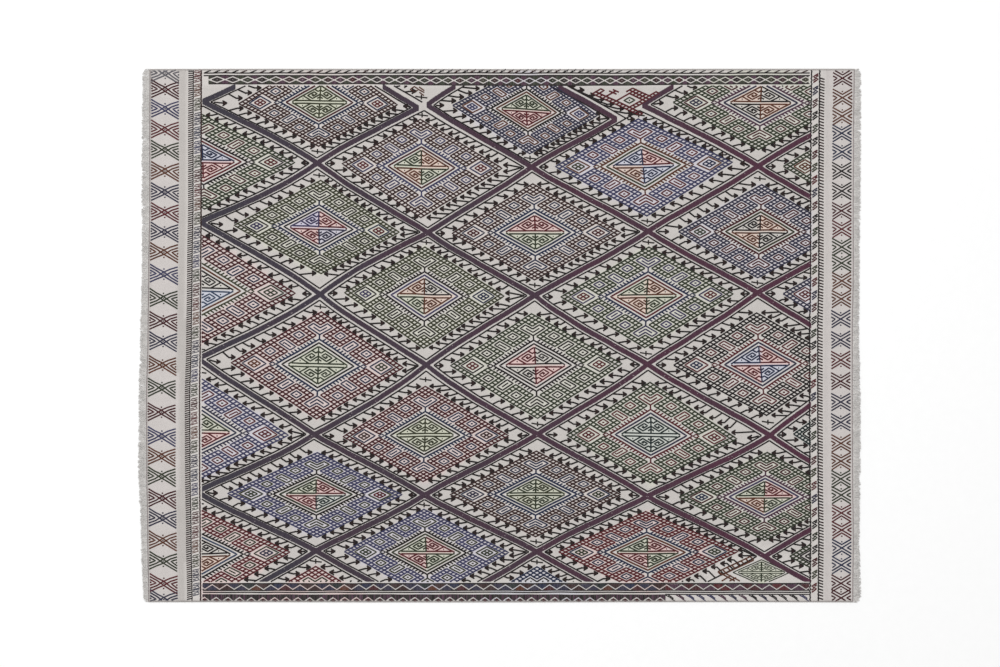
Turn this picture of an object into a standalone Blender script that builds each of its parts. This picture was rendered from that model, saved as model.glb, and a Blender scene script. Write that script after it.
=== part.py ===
"""A cicim rug lying flat: one woven cloth with raised brocade bars, and a cut fringe at each end.

The warp runs along X, so the fringes are the two short ends, and the selvedges are
the two long edges. Units are metres, +Z is up, and the origin is at the middle of
the whole rug's underside.
"""
import math
import random
from collections import namedtuple

import bmesh
import bpy

# Cloth.
CLOTH_WIDTH = 1.700          # from selvedge to selvedge, along Y
GROUND_THICKNESS = 0.0028    # the plain-woven ground
BROCADE_RISE = 0.0010        # how far brocaded bars and borders stand above the ground
SELVEDGE_SWAY = 0.0010       # the long edges wander by this much either way
OUTLINE_STEP = 0.030         # spacing of outline points, close enough for the hem strips to follow

# Brocaded field: a lattice of raised bars inside a frame of raised borders.
FIELD_LEFT, FIELD_RIGHT = -0.950, 0.990
FIELD_BOTTOM, FIELD_TOP = -0.784, 0.801
BAR_WIDTH = 0.0160           # across the bar

# Fringe: warp ends gathered in flat locks, held by a twined hem strip.
JOIN_GAP = 0.0003            # between the cloth's end and the hem strip
HEM_STRIP_WIDTH = 0.0040
LOCK_COUNT = 128             # on each end
LOCK_HEIGHT = 0.0024
LOCK_TIP_HEIGHT = 0.0015
LOCK_ROOT_SHARE = 0.76       # of the pitch between locks
LOCK_TIP_SHARE = 0.56
LOCK_TOP_SHARE = 0.62        # a lock's top is this much narrower than its foot
LOCK_SWAY = 0.0013           # sideways lean of a tip
SHORTEST_LOCK, LONGEST_LOCK = 0.80, 1.04
WORN_LOCK, WORN_SHARE = 0.50, 0.05
FRINGE_SEED = 11

# Where each end's hem lies and how far the fringe reaches past it, from the bottom
# selvedge to the top one, at even spacing.
EndRow = namedtuple("EndRow", "left_hem left_reach right_hem right_reach")
END_ROWS = (
    EndRow(-1.1199, 0.0175, 1.1247, 0.0240),
    EndRow(-1.1231, 0.0217, 1.1263, 0.0207),
    EndRow(-1.1263, 0.0240, 1.1240, 0.0250),
    EndRow(-1.1272, 0.0223, 1.1231, 0.0255),
    EndRow(-1.1224, 0.0239, 1.1231, 0.0223),
    EndRow(-1.1199, 0.0207, 1.1263, 0.0223),
    EndRow(-1.1167, 0.0250, 1.1263, 0.0207),
    EndRow(-1.1167, 0.0229, 1.1272, 0.0239),
    EndRow(-1.1158, 0.0190, 1.1294, 0.0130),
)

# Crossings of the lattice bars, row by row from the top. Rows alternate, so each
# one stands between the crossings of its neighbours. The outermost crossings lie
# beyond the field, where the borders cut the pattern off.
CrossingRow = namedtuple("CrossingRow", "y xs")
CROSSING_ROWS = (
    CrossingRow(0.950, (-0.581, 0.105, 0.822)),
    CrossingRow(0.740, (-0.946, -0.249, 0.414, 1.168)),
    CrossingRow(0.543, (-0.581, 0.104, 0.822)),
    CrossingRow(0.336, (-0.946, -0.234, 0.473, 1.168)),
    CrossingRow(0.130, (-0.575, 0.113, 0.820)),
    CrossingRow(-0.091, (-0.952, -0.234, 0.470, 1.168)),
    CrossingRow(-0.317, (-0.585, 0.110, 0.852)),
    CrossingRow(-0.508, (-0.954, -0.234, 0.473, 1.180)),
    CrossingRow(-0.690, (-0.581, 0.115, 0.849)),
    CrossingRow(-0.895, (-0.954, -0.234, 0.473, 1.180)),
)


def material(name, colour, roughness):
    """A plain Principled material."""
    made = bpy.data.materials.new(name)
    made.use_nodes = True
    shader = made.node_tree.nodes["Principled BSDF"]
    shader.inputs["Base Color"].default_value = (*colour, 1.0)
    shader.inputs["Roughness"].default_value = roughness
    shader.inputs["Metallic"].default_value = 0.0
    made.diffuse_color = (*colour, 1.0)
    return made


def mesh_object(name, bm, surface):
    """Makes a named object of a bmesh, with outward faces and one material."""
    bmesh.ops.recalc_face_normals(bm, faces=bm.faces)
    mesh = bpy.data.meshes.new(name)
    bm.to_mesh(mesh)
    bm.free()
    if surface:
        mesh.materials.append(surface)
    made = bpy.data.objects.new(name, mesh)
    bpy.context.scene.collection.objects.link(made)
    return made


def end_value(column, y):
    """Reads one column of END_ROWS at y, eased from row to row."""
    place = (y / CLOTH_WIDTH + 0.5) * (len(END_ROWS) - 1)
    row = min(max(int(place), 0), len(END_ROWS) - 2)
    share = 0.5 - 0.5 * math.cos(math.pi * min(max(place - row, 0.0), 1.0))
    low, high = getattr(END_ROWS[row], column), getattr(END_ROWS[row + 1], column)
    return low + (high - low) * share


def selvedge(x, side):
    """Y of a long edge at x; side is 1 for the top edge and -1 for the bottom one."""
    return side * (CLOTH_WIDTH / 2 - SELVEDGE_SWAY * (0.5 + 0.5 * math.sin(4.1 * x + side)))


def spread(low, high):
    """Evenly spaced values from low to high, OUTLINE_STEP apart or a little less."""
    count = math.ceil((high - low) / OUTLINE_STEP)
    return [low + (high - low) * index / count for index in range(count + 1)]


def cloth_outline():
    """Corner points of the cloth, anticlockwise from the bottom left."""
    half = CLOTH_WIDTH / 2
    ys = spread(-half, half)
    bottom = [(x, selvedge(x, -1)) for x in spread(end_value("left_hem", -half), end_value("right_hem", -half))]
    top = [(x, selvedge(x, 1)) for x in spread(end_value("left_hem", half), end_value("right_hem", half))]
    right = [(end_value("right_hem", y), y) for y in ys[1:-1]]
    left = [(end_value("left_hem", y), y) for y in ys[1:-1]]
    return bottom + right + top[::-1] + left[::-1]


def slab(bm, outline, low, high):
    """Adds a flat-topped block with the given outline."""
    foot = [bm.verts.new((x, y, low)) for x, y in outline]
    crown = [bm.verts.new((x, y, high)) for x, y in outline]
    bm.faces.new(foot[::-1])
    bm.faces.new(crown)
    for index in range(len(outline)):
        after = (index + 1) % len(outline)
        bm.faces.new((foot[index], foot[after], crown[after], crown[index]))


def clipped(outline, axis, limit, keep_above):
    """Cuts a convex outline along one straight line, x = limit or y = limit."""
    kept = []
    for here, there in zip(outline, outline[1:] + outline[:1]):
        inside = (here[axis] >= limit) == keep_above
        if inside:
            kept.append(here)
        if inside != ((there[axis] >= limit) == keep_above):
            share = (limit - here[axis]) / (there[axis] - here[axis])
            kept.append(tuple(a + (b - a) * share for a, b in zip(here, there)))
    return kept


def diamonds():
    """Corners of every diamond of ground that shows: left, bottom, right, top.

    The diamonds at the two ends are half hidden by the borders, so their missing
    side corners mirror the ones that show.
    """
    for above, middle, below in zip(CROSSING_ROWS, CROSSING_ROWS[1:], CROSSING_ROWS[2:]):
        for x in above.xs:
            left = max((side for side in middle.xs if side < x), default=None)
            right = min((side for side in middle.xs if side > x), default=None)
            if left is None:
                left = 2 * x - right
            if right is None:
                right = 2 * x - left
            foot = min(below.xs, key=lambda other: abs(other - x))
            yield (left, middle.y), (foot, below.y), (right, middle.y), (x, above.y)


def sunk_outline(corners):
    """One diamond drawn in by half a bar on all its sides, and cut to the field."""
    half_x = (corners[2][0] - corners[0][0]) / 2
    half_y = (corners[3][1] - corners[1][1]) / 2
    keep = 1 - BAR_WIDTH / 2 * math.hypot(half_x, half_y) / (half_x * half_y)
    centre = [sum(corner[axis] for corner in corners) / 4 for axis in (0, 1)]
    outline = [tuple(c + (p - c) * keep for c, p in zip(centre, corner)) for corner in corners]
    for axis, limit, keep_above in ((0, FIELD_LEFT, True), (0, FIELD_RIGHT, False),
                                    (1, FIELD_BOTTOM, True), (1, FIELD_TOP, False)):
        outline = clipped(outline, axis, limit, keep_above)
    return outline


def rug_cloth():
    """The woven cloth, with the ground sunk between the brocaded bars."""
    top = GROUND_THICKNESS + BROCADE_RISE
    bm = bmesh.new()
    slab(bm, cloth_outline(), 0.0, top)
    cloth = mesh_object("rug_cloth", bm, material("brocaded_wool", (0.24, 0.20, 0.20), 0.92))

    bm = bmesh.new()
    for corners in diamonds():
        outline = sunk_outline(corners)
        if outline:
            slab(bm, outline, GROUND_THICKNESS, top + BROCADE_RISE)
    sunk = mesh_object("sunk_ground", bm, None)
    sunk.hide_render = True
    sunk.display_type = "WIRE"

    cut = cloth.modifiers.new("sink the ground", "BOOLEAN")
    cut.operation = "DIFFERENCE"
    cut.object = sunk
    return cloth


def ring(bm, x, y, width, height, top_share):
    """Four corners of a lock's cross-section, bottom edge first."""
    half = width / 2
    return [bm.verts.new((x, y + side * half * share, z))
            for side, share, z in ((-1, 1, 0.0), (1, 1, 0.0), (1, top_share, height), (-1, top_share, height))]


def bridge(bm, first, second):
    """Four side faces between two cross-sections."""
    for index in range(4):
        after = (index + 1) % 4
        bm.faces.new((first[index], first[after], second[after], second[index]))


def fringe(name, hem_column, reach_column, outward, draw):
    """The fringe of one end: a hem strip with flat locks fused to its outer face."""
    half = CLOTH_WIDTH / 2 - SELVEDGE_SWAY
    pitch = 2 * half / LOCK_COUNT
    root = pitch * LOCK_ROOT_SHARE
    bm = bmesh.new()
    stations = []
    for index in range(LOCK_COUNT):
        y = -half + (index + 0.5) * pitch
        stations += [y - root / 2, y + root / 2]
    stations = [-half] + stations + [half]

    strip = []
    for y in stations:
        inner = end_value(hem_column, y) + outward * JOIN_GAP
        outer = inner + outward * HEM_STRIP_WIDTH
        strip.append([bm.verts.new(point) for point in
                      ((inner, y, 0.0), (outer, y, 0.0), (outer, y, LOCK_HEIGHT), (inner, y, LOCK_HEIGHT))])
    bm.faces.new(strip[0])
    bm.faces.new(strip[-1])
    for index, (here, there) in enumerate(zip(strip, strip[1:])):
        bm.faces.new((here[0], here[1], there[1], there[0]))
        bm.faces.new((here[2], here[3], there[3], there[2]))
        bm.faces.new((here[3], here[0], there[0], there[3]))
        if index % 2 == 0:
            bm.faces.new((here[1], here[2], there[2], there[1]))
            continue
        # A lock grows out of this stretch of the strip.
        y = (stations[index] + stations[index + 1]) / 2
        length = end_value(reach_column, y) - HEM_STRIP_WIDTH
        length *= WORN_LOCK if draw.random() < WORN_SHARE else draw.uniform(SHORTEST_LOCK, LONGEST_LOCK)
        lean = draw.uniform(-LOCK_SWAY, LOCK_SWAY)
        start = here[1].co.x
        middle = ring(bm, start + outward * length * 0.55, y + lean * 0.35, root * 0.94,
                      LOCK_HEIGHT, LOCK_TOP_SHARE)
        tip = ring(bm, start + outward * length, y + lean, pitch * LOCK_TIP_SHARE,
                   LOCK_TIP_HEIGHT, LOCK_TOP_SHARE)
        bridge(bm, (here[1], there[1], there[2], here[2]), middle)
        bridge(bm, middle, tip)
        bm.faces.new(tip)
    return mesh_object(name, bm, material(name + "_wool", (0.50, 0.49, 0.47), 0.95))


def main():
    for existing in list(bpy.data.objects):
        bpy.data.objects.remove(existing)
    draw = random.Random(FRINGE_SEED)
    rug_cloth()
    fringe("fringe_left", "left_hem", "left_reach", -1, draw)
    fringe("fringe_right", "right_hem", "right_reach", 1, draw)


main()
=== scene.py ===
import math
import random

import bpy
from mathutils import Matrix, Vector, noise


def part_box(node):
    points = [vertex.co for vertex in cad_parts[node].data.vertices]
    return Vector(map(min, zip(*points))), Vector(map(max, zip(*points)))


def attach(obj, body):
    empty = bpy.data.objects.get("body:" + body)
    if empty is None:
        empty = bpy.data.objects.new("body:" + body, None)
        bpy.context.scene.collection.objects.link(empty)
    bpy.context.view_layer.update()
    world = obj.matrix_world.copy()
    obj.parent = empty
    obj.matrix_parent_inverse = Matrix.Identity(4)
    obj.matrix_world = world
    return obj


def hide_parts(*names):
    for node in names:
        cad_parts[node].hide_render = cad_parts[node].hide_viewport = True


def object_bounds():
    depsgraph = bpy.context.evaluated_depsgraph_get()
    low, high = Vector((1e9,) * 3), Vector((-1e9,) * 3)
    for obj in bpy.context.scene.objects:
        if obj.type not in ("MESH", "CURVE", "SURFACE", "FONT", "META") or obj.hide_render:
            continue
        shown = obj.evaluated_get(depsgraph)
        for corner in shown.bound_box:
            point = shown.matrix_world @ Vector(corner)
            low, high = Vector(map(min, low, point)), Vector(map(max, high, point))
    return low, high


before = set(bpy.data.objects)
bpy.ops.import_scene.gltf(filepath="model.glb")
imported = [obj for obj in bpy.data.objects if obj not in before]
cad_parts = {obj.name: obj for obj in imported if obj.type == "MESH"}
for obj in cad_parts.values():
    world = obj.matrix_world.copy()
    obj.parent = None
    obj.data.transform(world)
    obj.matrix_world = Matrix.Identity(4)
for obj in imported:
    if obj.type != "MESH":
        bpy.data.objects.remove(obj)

cad_low, cad_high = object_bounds()
bpy.context.scene.view_settings.view_transform = "Standard"


# ---- The ground cloth ---------------------------------------------------------------------
# One flat plain-weave cloth of undyed ivory wool, woven in one width and a little uneven
# at both ends. The coloured wools are laid in over it, so its own face is smooth and matt,
# and where dark figures stand close together their dye has crept a little into the ivory.

cloth_low, cloth_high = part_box("rug_cloth")
HALF_WIDTH = cloth_high[1]
GROUND_TOP = 0.0028
SELVEDGE_SWAY = 0.0010
GROUND_STEP, RIM_DROP = 0.0125, 0.0008
THREAD_PITCH = 0.0017
FIELD_LEFT, FIELD_RIGHT = -0.950, 0.990
FIELD_BOTTOM, FIELD_TOP = -0.784, 0.7955
LEFT_BAND_END, RIGHT_BAND_START = -0.998, 1.034
LEFT_CROSS_BAND, RIGHT_CROSS_BAND = (-1.115, -1.026), (1.048, 1.128)

# nine rows, evenly spaced from the lower long edge to the upper one:
# where the cloth ends on the left, how far the fringe stands out, and the same on the right.
# The numbers were set one by one.
END_ROWS = (
    (-1.1199, 0.0200, 1.1247, 0.0280),
    (-1.1231, 0.0235, 1.1263, 0.0215),
    (-1.1263, 0.0285, 1.1240, 0.0272),
    (-1.1272, 0.0270, 1.1231, 0.0285),
    (-1.1224, 0.0266, 1.1231, 0.0240),
    (-1.1199, 0.0240, 1.1263, 0.0220),
    (-1.1167, 0.0275, 1.1263, 0.0247),
    (-1.1167, 0.0268, 1.1272, 0.0252),
    (-1.1158, 0.0260, 1.1294, 0.0235),
)
LEFT_HEM, LEFT_REACH, RIGHT_HEM, RIGHT_REACH = range(4)


def eased(a, b, t):
    return a + (b - a) * (0.5 - 0.5 * math.cos(math.pi * t))


def end_value(column, y):
    """One column of END_ROWS at the height y, eased between its rows."""
    along = (y + HALF_WIDTH) / (2 * HALF_WIDTH) * (len(END_ROWS) - 1)
    along = min(max(along, 0.0), len(END_ROWS) - 1.0001)
    row = int(along)
    return eased(END_ROWS[row][column], END_ROWS[row + 1][column], along - row)


def selvedge_y(x, side):
    """The height of the long edge above (side 1) or below (side -1) at x."""
    return side * (HALF_WIDTH - SELVEDGE_SWAY * (0.5 + 0.5 * math.sin(4.1 * x + side)))


def dyed(red, green, blue):
    """A dye given as it looks on a screen, turned into the linear colour that shaders use."""
    def linear(value):
        value /= 255
        return value / 12.92 if value <= 0.04045 else ((value + 0.055) / 1.055) ** 2.4
    return (linear(red), linear(green), linear(blue))


def blended(a, b, share):
    return tuple(p + (q - p) * share for p, q in zip(a, b))


IVORY = dyed(209, 204, 200)
IVORY_LEFT_BAND = dyed(189, 184, 180)
IVORY_RIGHT_BAND = dyed(199, 193, 190)
IVORY_CROSSES = dyed(204, 198, 195)
IVORY_ARROWS = dyed(200, 195, 191)


def node(tree, kind, **sockets):
    """A new node, with the plain values of its input sockets, by name."""
    made = tree.nodes.new(kind)
    for name, value in sockets.items():
        made.inputs[name.replace("_", " ")].default_value = value
    return made


def empty_group(name, tree_kind, inputs, outputs):
    """An empty node group with its named sockets and its two end nodes."""
    group = bpy.data.node_groups.new(name, tree_kind)
    for title, kind in inputs:
        group.interface.new_socket(title, in_out="INPUT", socket_type=kind)
    for title, kind in outputs:
        group.interface.new_socket(title, in_out="OUTPUT", socket_type=kind)
    return group, group.nodes.new("NodeGroupInput"), group.nodes.new("NodeGroupOutput")


def math_node(tree, operation, first, second=None):
    made = tree.nodes.new("ShaderNodeMath")
    made.operation = operation
    for socket, value in zip(made.inputs, (first, second)):
        if isinstance(value, bpy.types.NodeSocket):
            tree.links.new(value, socket)
        elif value is not None:
            socket.default_value = value
    return made.outputs[0]


def fibre_group():
    """Wool's own unevenness: soft patches of dye, and fine fibres that break up the light."""
    group, start, end = empty_group(
        "wool fibre", "ShaderNodeTree",
        (("Dye", "NodeSocketColor"), ("Patch size", "NodeSocketFloat"),
         ("Unevenness", "NodeSocketFloat")),
        (("Colour", "NodeSocketColor"), ("Roughness", "NodeSocketFloat"),
         ("Height", "NodeSocketFloat")))
    links = group.links
    place = group.nodes.new("ShaderNodeTexCoord").outputs["Object"]
    patches = node(group, "ShaderNodeTexNoise", Detail=2.0, Roughness=0.6)
    links.new(place, patches.inputs["Vector"])
    links.new(start.outputs["Patch size"], patches.inputs["Scale"])
    fibres = node(group, "ShaderNodeTexNoise", Scale=620.0, Detail=3.0, Roughness=0.7)
    links.new(place, fibres.inputs["Vector"])
    patchy = math_node(group, "SUBTRACT", patches.outputs["Fac"], 0.5)
    fibrous = math_node(group, "SUBTRACT", fibres.outputs["Fac"], 0.5)
    both = math_node(group, "ADD", patchy, math_node(group, "MULTIPLY", fibrous, 0.6))
    swing = math_node(group, "MULTIPLY", both, start.outputs["Unevenness"])
    value = math_node(group, "ADD", swing, 1.0)
    mixed = node(group, "ShaderNodeHueSaturation", Hue=0.5, Saturation=1.0, Fac=1.0)
    links.new(value, mixed.inputs["Value"])
    links.new(start.outputs["Dye"], mixed.inputs["Color"])
    links.new(mixed.outputs["Color"], end.inputs["Colour"])
    rough = math_node(group, "ADD", math_node(group, "MULTIPLY", fibrous, 0.2), 0.88)
    links.new(rough, end.inputs["Roughness"])
    links.new(fibres.outputs["Fac"], end.inputs["Height"])
    return group


FIBRE = fibre_group()


def wool_material(name, patch_size, unevenness, bump, sheen):
    """Matt wool that takes its dye from the piece's own dye attribute."""
    material = bpy.data.materials.new(name)
    material.use_nodes = True
    tree = material.node_tree
    shader = tree.nodes["Principled BSDF"]
    shader.inputs["Sheen Weight"].default_value = sheen
    shader.inputs["Sheen Roughness"].default_value = 0.6
    shader.inputs["Specular IOR Level"].default_value = 0.15
    dye = tree.nodes.new("ShaderNodeAttribute")
    dye.attribute_name = "dye"
    fibre = tree.nodes.new("ShaderNodeGroup")
    fibre.node_tree = FIBRE
    fibre.inputs["Patch size"].default_value = patch_size
    fibre.inputs["Unevenness"].default_value = unevenness
    relief = node(tree, "ShaderNodeBump", Strength=bump, Distance=0.0006)
    tree.links.new(dye.outputs["Color"], fibre.inputs["Dye"])
    tree.links.new(fibre.outputs["Colour"], shader.inputs["Base Color"])
    tree.links.new(fibre.outputs["Roughness"], shader.inputs["Roughness"])
    tree.links.new(fibre.outputs["Height"], relief.inputs["Height"])
    tree.links.new(relief.outputs["Normal"], shader.inputs["Normal"])
    return material, tree, fibre, relief


def ground_material():
    """The ivory ground: the dye and fibre of any wool, with the raised dots of plain weave."""
    material, tree, fibre, relief = wool_material("ivory plain weave", 26.0, 0.13, 0.45, 0.05)
    thread_turn = 2 * math.pi / THREAD_PITCH
    place = tree.nodes.new("ShaderNodeTexCoord").outputs["Object"]
    parts = tree.nodes.new("ShaderNodeSeparateXYZ")
    tree.links.new(place, parts.inputs[0])
    over_x = math_node(tree, "SINE", math_node(tree, "MULTIPLY", parts.outputs["X"], thread_turn))
    over_y = math_node(tree, "SINE", math_node(tree, "MULTIPLY", parts.outputs["Y"], thread_turn))
    crossing = math_node(tree, "MULTIPLY", over_x, over_y)
    weave = math_node(tree, "ADD", crossing, fibre.outputs["Height"])
    tree.links.new(weave, relief.inputs["Height"])
    return material


def plain_mesh_object(name, points, faces):
    mesh = bpy.data.meshes.new(name)
    mesh.from_pydata(points, [], faces)
    mesh.update()
    made = bpy.data.objects.new(name, mesh)
    bpy.context.scene.collection.objects.link(made)
    return made


def store_dye(mesh, colours):
    """Keeps one colour a point in the mesh's dye attribute."""
    layer = mesh.attributes.new("dye", "FLOAT_COLOR", "POINT")
    layer.data.foreach_set("color", [part for c in colours for part in (*c, 1.0)])


def bake_map(mesh, low, high):
    """Lays the piece's upper faces in the top half of its bake map and the lower ones below."""
    reach = max(high[0] - low[0], 2 * (high[1] - low[1]))
    layer = mesh.uv_layers.new(name="OFBake")
    for face in mesh.polygons:
        lift = 0.5 if face.normal.z >= 0 else 0.0
        for corner in face.loop_indices:
            place = mesh.vertices[mesh.loops[corner].vertex_index].co
            layer.data[corner].uv = ((place.x - low[0]) / reach,
                                     (place.y - low[1]) / reach + lift)


def ground_tone(x):
    """The ivory of the ground: a little darker on the bands outside the field."""
    for start, end in (LEFT_CROSS_BAND, RIGHT_CROSS_BAND):
        if start < x < end:
            return IVORY_CROSSES
    if x < LEFT_BAND_END:
        return IVORY_LEFT_BAND
    if x > RIGHT_BAND_START:
        return IVORY_RIGHT_BAND
    return IVORY


def make_ground():
    columns = round((cloth_high[0] - cloth_low[0]) / GROUND_STEP)
    rows = round(2 * HALF_WIDTH / GROUND_STEP)
    points, colours = [], []
    for top in (True, False):
        for j in range(rows + 1):
            y_flat = (2 * j / rows - 1) * HALF_WIDTH
            left, right = end_value(LEFT_HEM, y_flat), end_value(RIGHT_HEM, y_flat)
            for i in range(columns + 1):
                x = left + (right - left) * i / columns
                low, high = selvedge_y(x, -1), selvedge_y(x, 1)
                y = low + (high - low) * j / rows
                on_rim = i in (0, columns) or j in (0, rows)
                z = GROUND_TOP - (RIM_DROP if on_rim else 0.0) if top else 0.0
                points.append((x, y, z))
                colours.append(ground_tone(x))
    width, layer = columns + 1, (columns + 1) * (rows + 1)
    faces = []
    for j in range(rows):
        for i in range(columns):
            a = j * width + i
            faces.append((a, a + 1, a + 1 + width, a + width))
            b = a + layer
            faces.append((b, b + width, b + 1 + width, b + 1))
    rim = ([i for i in range(columns)]
           + [j * width + columns for j in range(rows)]
           + [rows * width + i for i in range(columns, 0, -1)]
           + [j * width for j in range(rows, 0, -1)])
    for a, b in zip(rim, rim[1:] + rim[:1]):
        faces.append((b, a, a + layer, b + layer))
    ground = plain_mesh_object("ivory_ground", points, faces)
    store_dye(ground.data, colours)
    bake_map(ground.data, cloth_low, cloth_high)
    ground.data.materials.append(ground_material())
    return ground


ground = make_ground()


# ---- The laid-in wools --------------------------------------------------------------------
# Every figure of the rug is a line of soft two-ply wool laid over the ground while weaving.
# A run is one such line: its points on the cloth, how thick it is at each, and its dye.
# One Geometry Nodes tree turns all the runs of a piece into low, closed yarns.

DYES = {
    "black": dyed(26, 20, 21),
    "madder": dyed(66, 20, 26),
    "red": dyed(84, 25, 31),
    "indigo": dyed(58, 58, 90),
    "violet": dyed(56, 50, 84),
    "navy": dyed(46, 45, 66),
    "green": dyed(46, 53, 37),
    "olive": dyed(54, 56, 38),
    "rust": dyed(88, 50, 34),
    "orange": dyed(86, 47, 30),
    "purple": dyed(74, 46, 64),
    "blue": dyed(34, 42, 68),
    "sky": dyed(54, 68, 92),
    "teal": dyed(32, 43, 43),
    "brown": dyed(54, 32, 31),
    "umber": dyed(36, 31, 28),
    "slate": dyed(62, 58, 68),
    "plum": dyed(82, 46, 63),
    "grey": dyed(96, 94, 100),
    "mauve": dyed(150, 140, 142),
}


# the radius at which a three-sided section is one unit wide
UNIT_SIDE_RADIUS = 0.5774


def yarn_tree():
    """Mesh edges with a girth at each point become closed yarns with a low rounded back."""
    tree, start, end = empty_group(
        "laid yarn", "GeometryNodeTree",
        (("Runs", "NodeSocketGeometry"), ("Yarn width", "NodeSocketFloat"),
         ("Yarn height", "NodeSocketFloat"), ("Wool", "NodeSocketMaterial")),
        (("Yarns", "NodeSocketGeometry"),))
    add, link = tree.nodes.new, tree.links.new
    lines = add("GeometryNodeMeshToCurve")
    level = add("GeometryNodeSetCurveNormal")
    level.mode = "Z_UP"
    girth = add("GeometryNodeInputNamedAttribute")
    girth.data_type = "FLOAT"
    girth.inputs["Name"].default_value = "girth"
    section = add("GeometryNodeCurvePrimitiveCircle")
    section.inputs["Resolution"].default_value = 3
    section.inputs["Radius"].default_value = UNIT_SIDE_RADIUS
    shape = add("ShaderNodeCombineXYZ")
    shape.inputs["Z"].default_value = 1.0
    turn = add("GeometryNodeTransform")
    turn.inputs["Rotation"].default_value = (0.0, 0.0, -math.pi / 2)
    flatten = add("GeometryNodeTransform")
    sweep = add("GeometryNodeCurveToMesh")
    sweep.inputs["Fill Caps"].default_value = True
    smooth = add("GeometryNodeSetShadeSmooth")
    real = add("GeometryNodeRealizeInstances")
    finish = add("GeometryNodeSetMaterial")
    link(start.outputs["Runs"], lines.inputs["Mesh"])
    link(lines.outputs["Curve"], level.inputs["Curve"])
    link(section.outputs["Curve"], turn.inputs["Geometry"])
    link(turn.outputs["Geometry"], flatten.inputs["Geometry"])
    link(start.outputs["Yarn width"], shape.inputs["X"])
    link(start.outputs["Yarn height"], shape.inputs["Y"])
    link(shape.outputs["Vector"], flatten.inputs["Scale"])
    link(level.outputs["Curve"], sweep.inputs["Curve"])
    link(flatten.outputs["Geometry"], sweep.inputs["Profile Curve"])
    link(girth.outputs["Attribute"], sweep.inputs["Scale"])
    link(sweep.outputs["Mesh"], smooth.inputs["Geometry"])
    link(smooth.outputs["Geometry"], real.inputs["Geometry"])
    link(real.outputs["Geometry"], finish.inputs["Geometry"])
    link(start.outputs["Wool"], finish.inputs["Material"])
    link(finish.outputs["Geometry"], end.inputs["Yarns"])
    return tree


YARN_TREE = yarn_tree()


def grown(piece, tree, values):
    """Runs a tree on the piece with its named inputs, and leaves the result as a plain mesh."""
    growth = piece.modifiers.new(tree.name, "NODES")
    growth.node_group = tree
    for socket in tree.interface.items_tree:
        if socket.in_out == "INPUT" and socket.name in values:
            growth[socket.identifier] = values[socket.name]
    seen = piece.evaluated_get(bpy.context.evaluated_depsgraph_get())
    mesh = bpy.data.meshes.new_from_object(seen)
    piece.modifiers.clear()
    piece.data = mesh
    mesh.name = piece.name
    return piece


def bare_lines(name, points, edges, colours, title, values):
    """Bare edges with a dye and one named value at each point, for a tree to grow on."""
    mesh = bpy.data.meshes.new(name)
    mesh.from_pydata(points, edges, [])
    store_dye(mesh, colours)
    layer = mesh.attributes.new(title, "FLOAT", "POINT")
    layer.data.foreach_set("value", values)
    piece = bpy.data.objects.new(name, mesh)
    bpy.context.scene.collection.objects.link(piece)
    return piece


def lay_yarns(name, runs, width, height, wool, base=GROUND_TOP + 0.0002):
    """One piece of laid-in wool, rooted a little under the face of the ground."""
    points, edges, girths, colours = [], [], [], []
    draw = random.Random(name)
    for line, girth, dye in runs:
        first = len(points)
        shade = draw.uniform(0.88, 1.12)
        lift = base + draw.uniform(0.0, 0.00012)
        worn = tuple(part * shade for part in dye)
        for k, (x, y) in enumerate(line):
            points.append((x, y, lift))
            girths.append(girth[k] if isinstance(girth, (list, tuple)) else girth)
            colours.append(worn)
        last = len(points) - 1
        edges.extend((k, k + 1) for k in range(first, last))
        if line[0] == line[-1] and last - first > 2:
            points.pop()
            girths.pop()
            colours.pop()
            edges[-1] = (last - 1, first)
    piece = bare_lines(name, points, edges, colours, "girth", girths)
    grown(piece, YARN_TREE, {"Yarn width": width, "Yarn height": height, "Wool": wool})
    bake_map(piece.data, cloth_low, cloth_high)
    return piece


def stepped(line, step):
    """The same line with points no further apart than step."""
    made = [line[0]]
    for (xa, ya), (xb, yb) in zip(line, line[1:]):
        parts = max(1, math.ceil(math.hypot(xb - xa, yb - ya) / step - 0.001))
        made.extend((xa + (xb - xa) * k / parts, ya + (yb - ya) * k / parts)
                    for k in range(1, parts + 1))
    return made


# without a seed, noise_vector takes its offsets from the clock and no two runs drift alike
DRIFT_SEED = 1795415302
noise.seed_set(DRIFT_SEED)


def wavered(x, y, amount=0.0013):
    """Where a hand-laid point really lands: all wools nearby drift the same way."""
    drift = noise.noise_vector(Vector((x * 16, y * 16, 2.5)))
    return (x + amount * drift.x, y + amount * drift.y)


def field_parts(line):
    """The stretches of a line that lie inside the field, cut at its edge."""
    def inside(p):
        return FIELD_LEFT <= p[0] <= FIELD_RIGHT and FIELD_BOTTOM <= p[1] <= FIELD_TOP

    def rim_point(a, b):
        """Where the way from a, inside, to b, outside, leaves the field."""
        share = 1.0
        for axis, low, high in ((0, FIELD_LEFT, FIELD_RIGHT), (1, FIELD_BOTTOM, FIELD_TOP)):
            for limit in (low, high):
                if (a[axis] - limit) * (b[axis] - limit) < 0:
                    share = min(share, (limit - a[axis]) / (b[axis] - a[axis]))
        return (a[0] + (b[0] - a[0]) * share, a[1] + (b[1] - a[1]) * share)

    parts, current = [], []
    for k, point in enumerate(line):
        if inside(point):
            if not current and k > 0:
                current.append(rim_point(point, line[k - 1]))
            current.append(point)
        elif current:
            current.append(rim_point(line[k - 1], point))
            parts.append(current)
            current = []
    if current:
        parts.append(current)
    return [part for part in parts if len(part) > 1]


line_wool = wool_material("laid two-ply wool", 45.0, 0.45, 0.8, 0.10)[0]


# ---- The grid of lozenges -----------------------------------------------------------------
# The field is divided into large lozenges by bars that cross at uneven places, as they were
# counted out on the loom. A lozenge has its own cells: u runs up to the right along its
# upper left side and v down to the right, both from its middle to CORNER at its corners.

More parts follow.
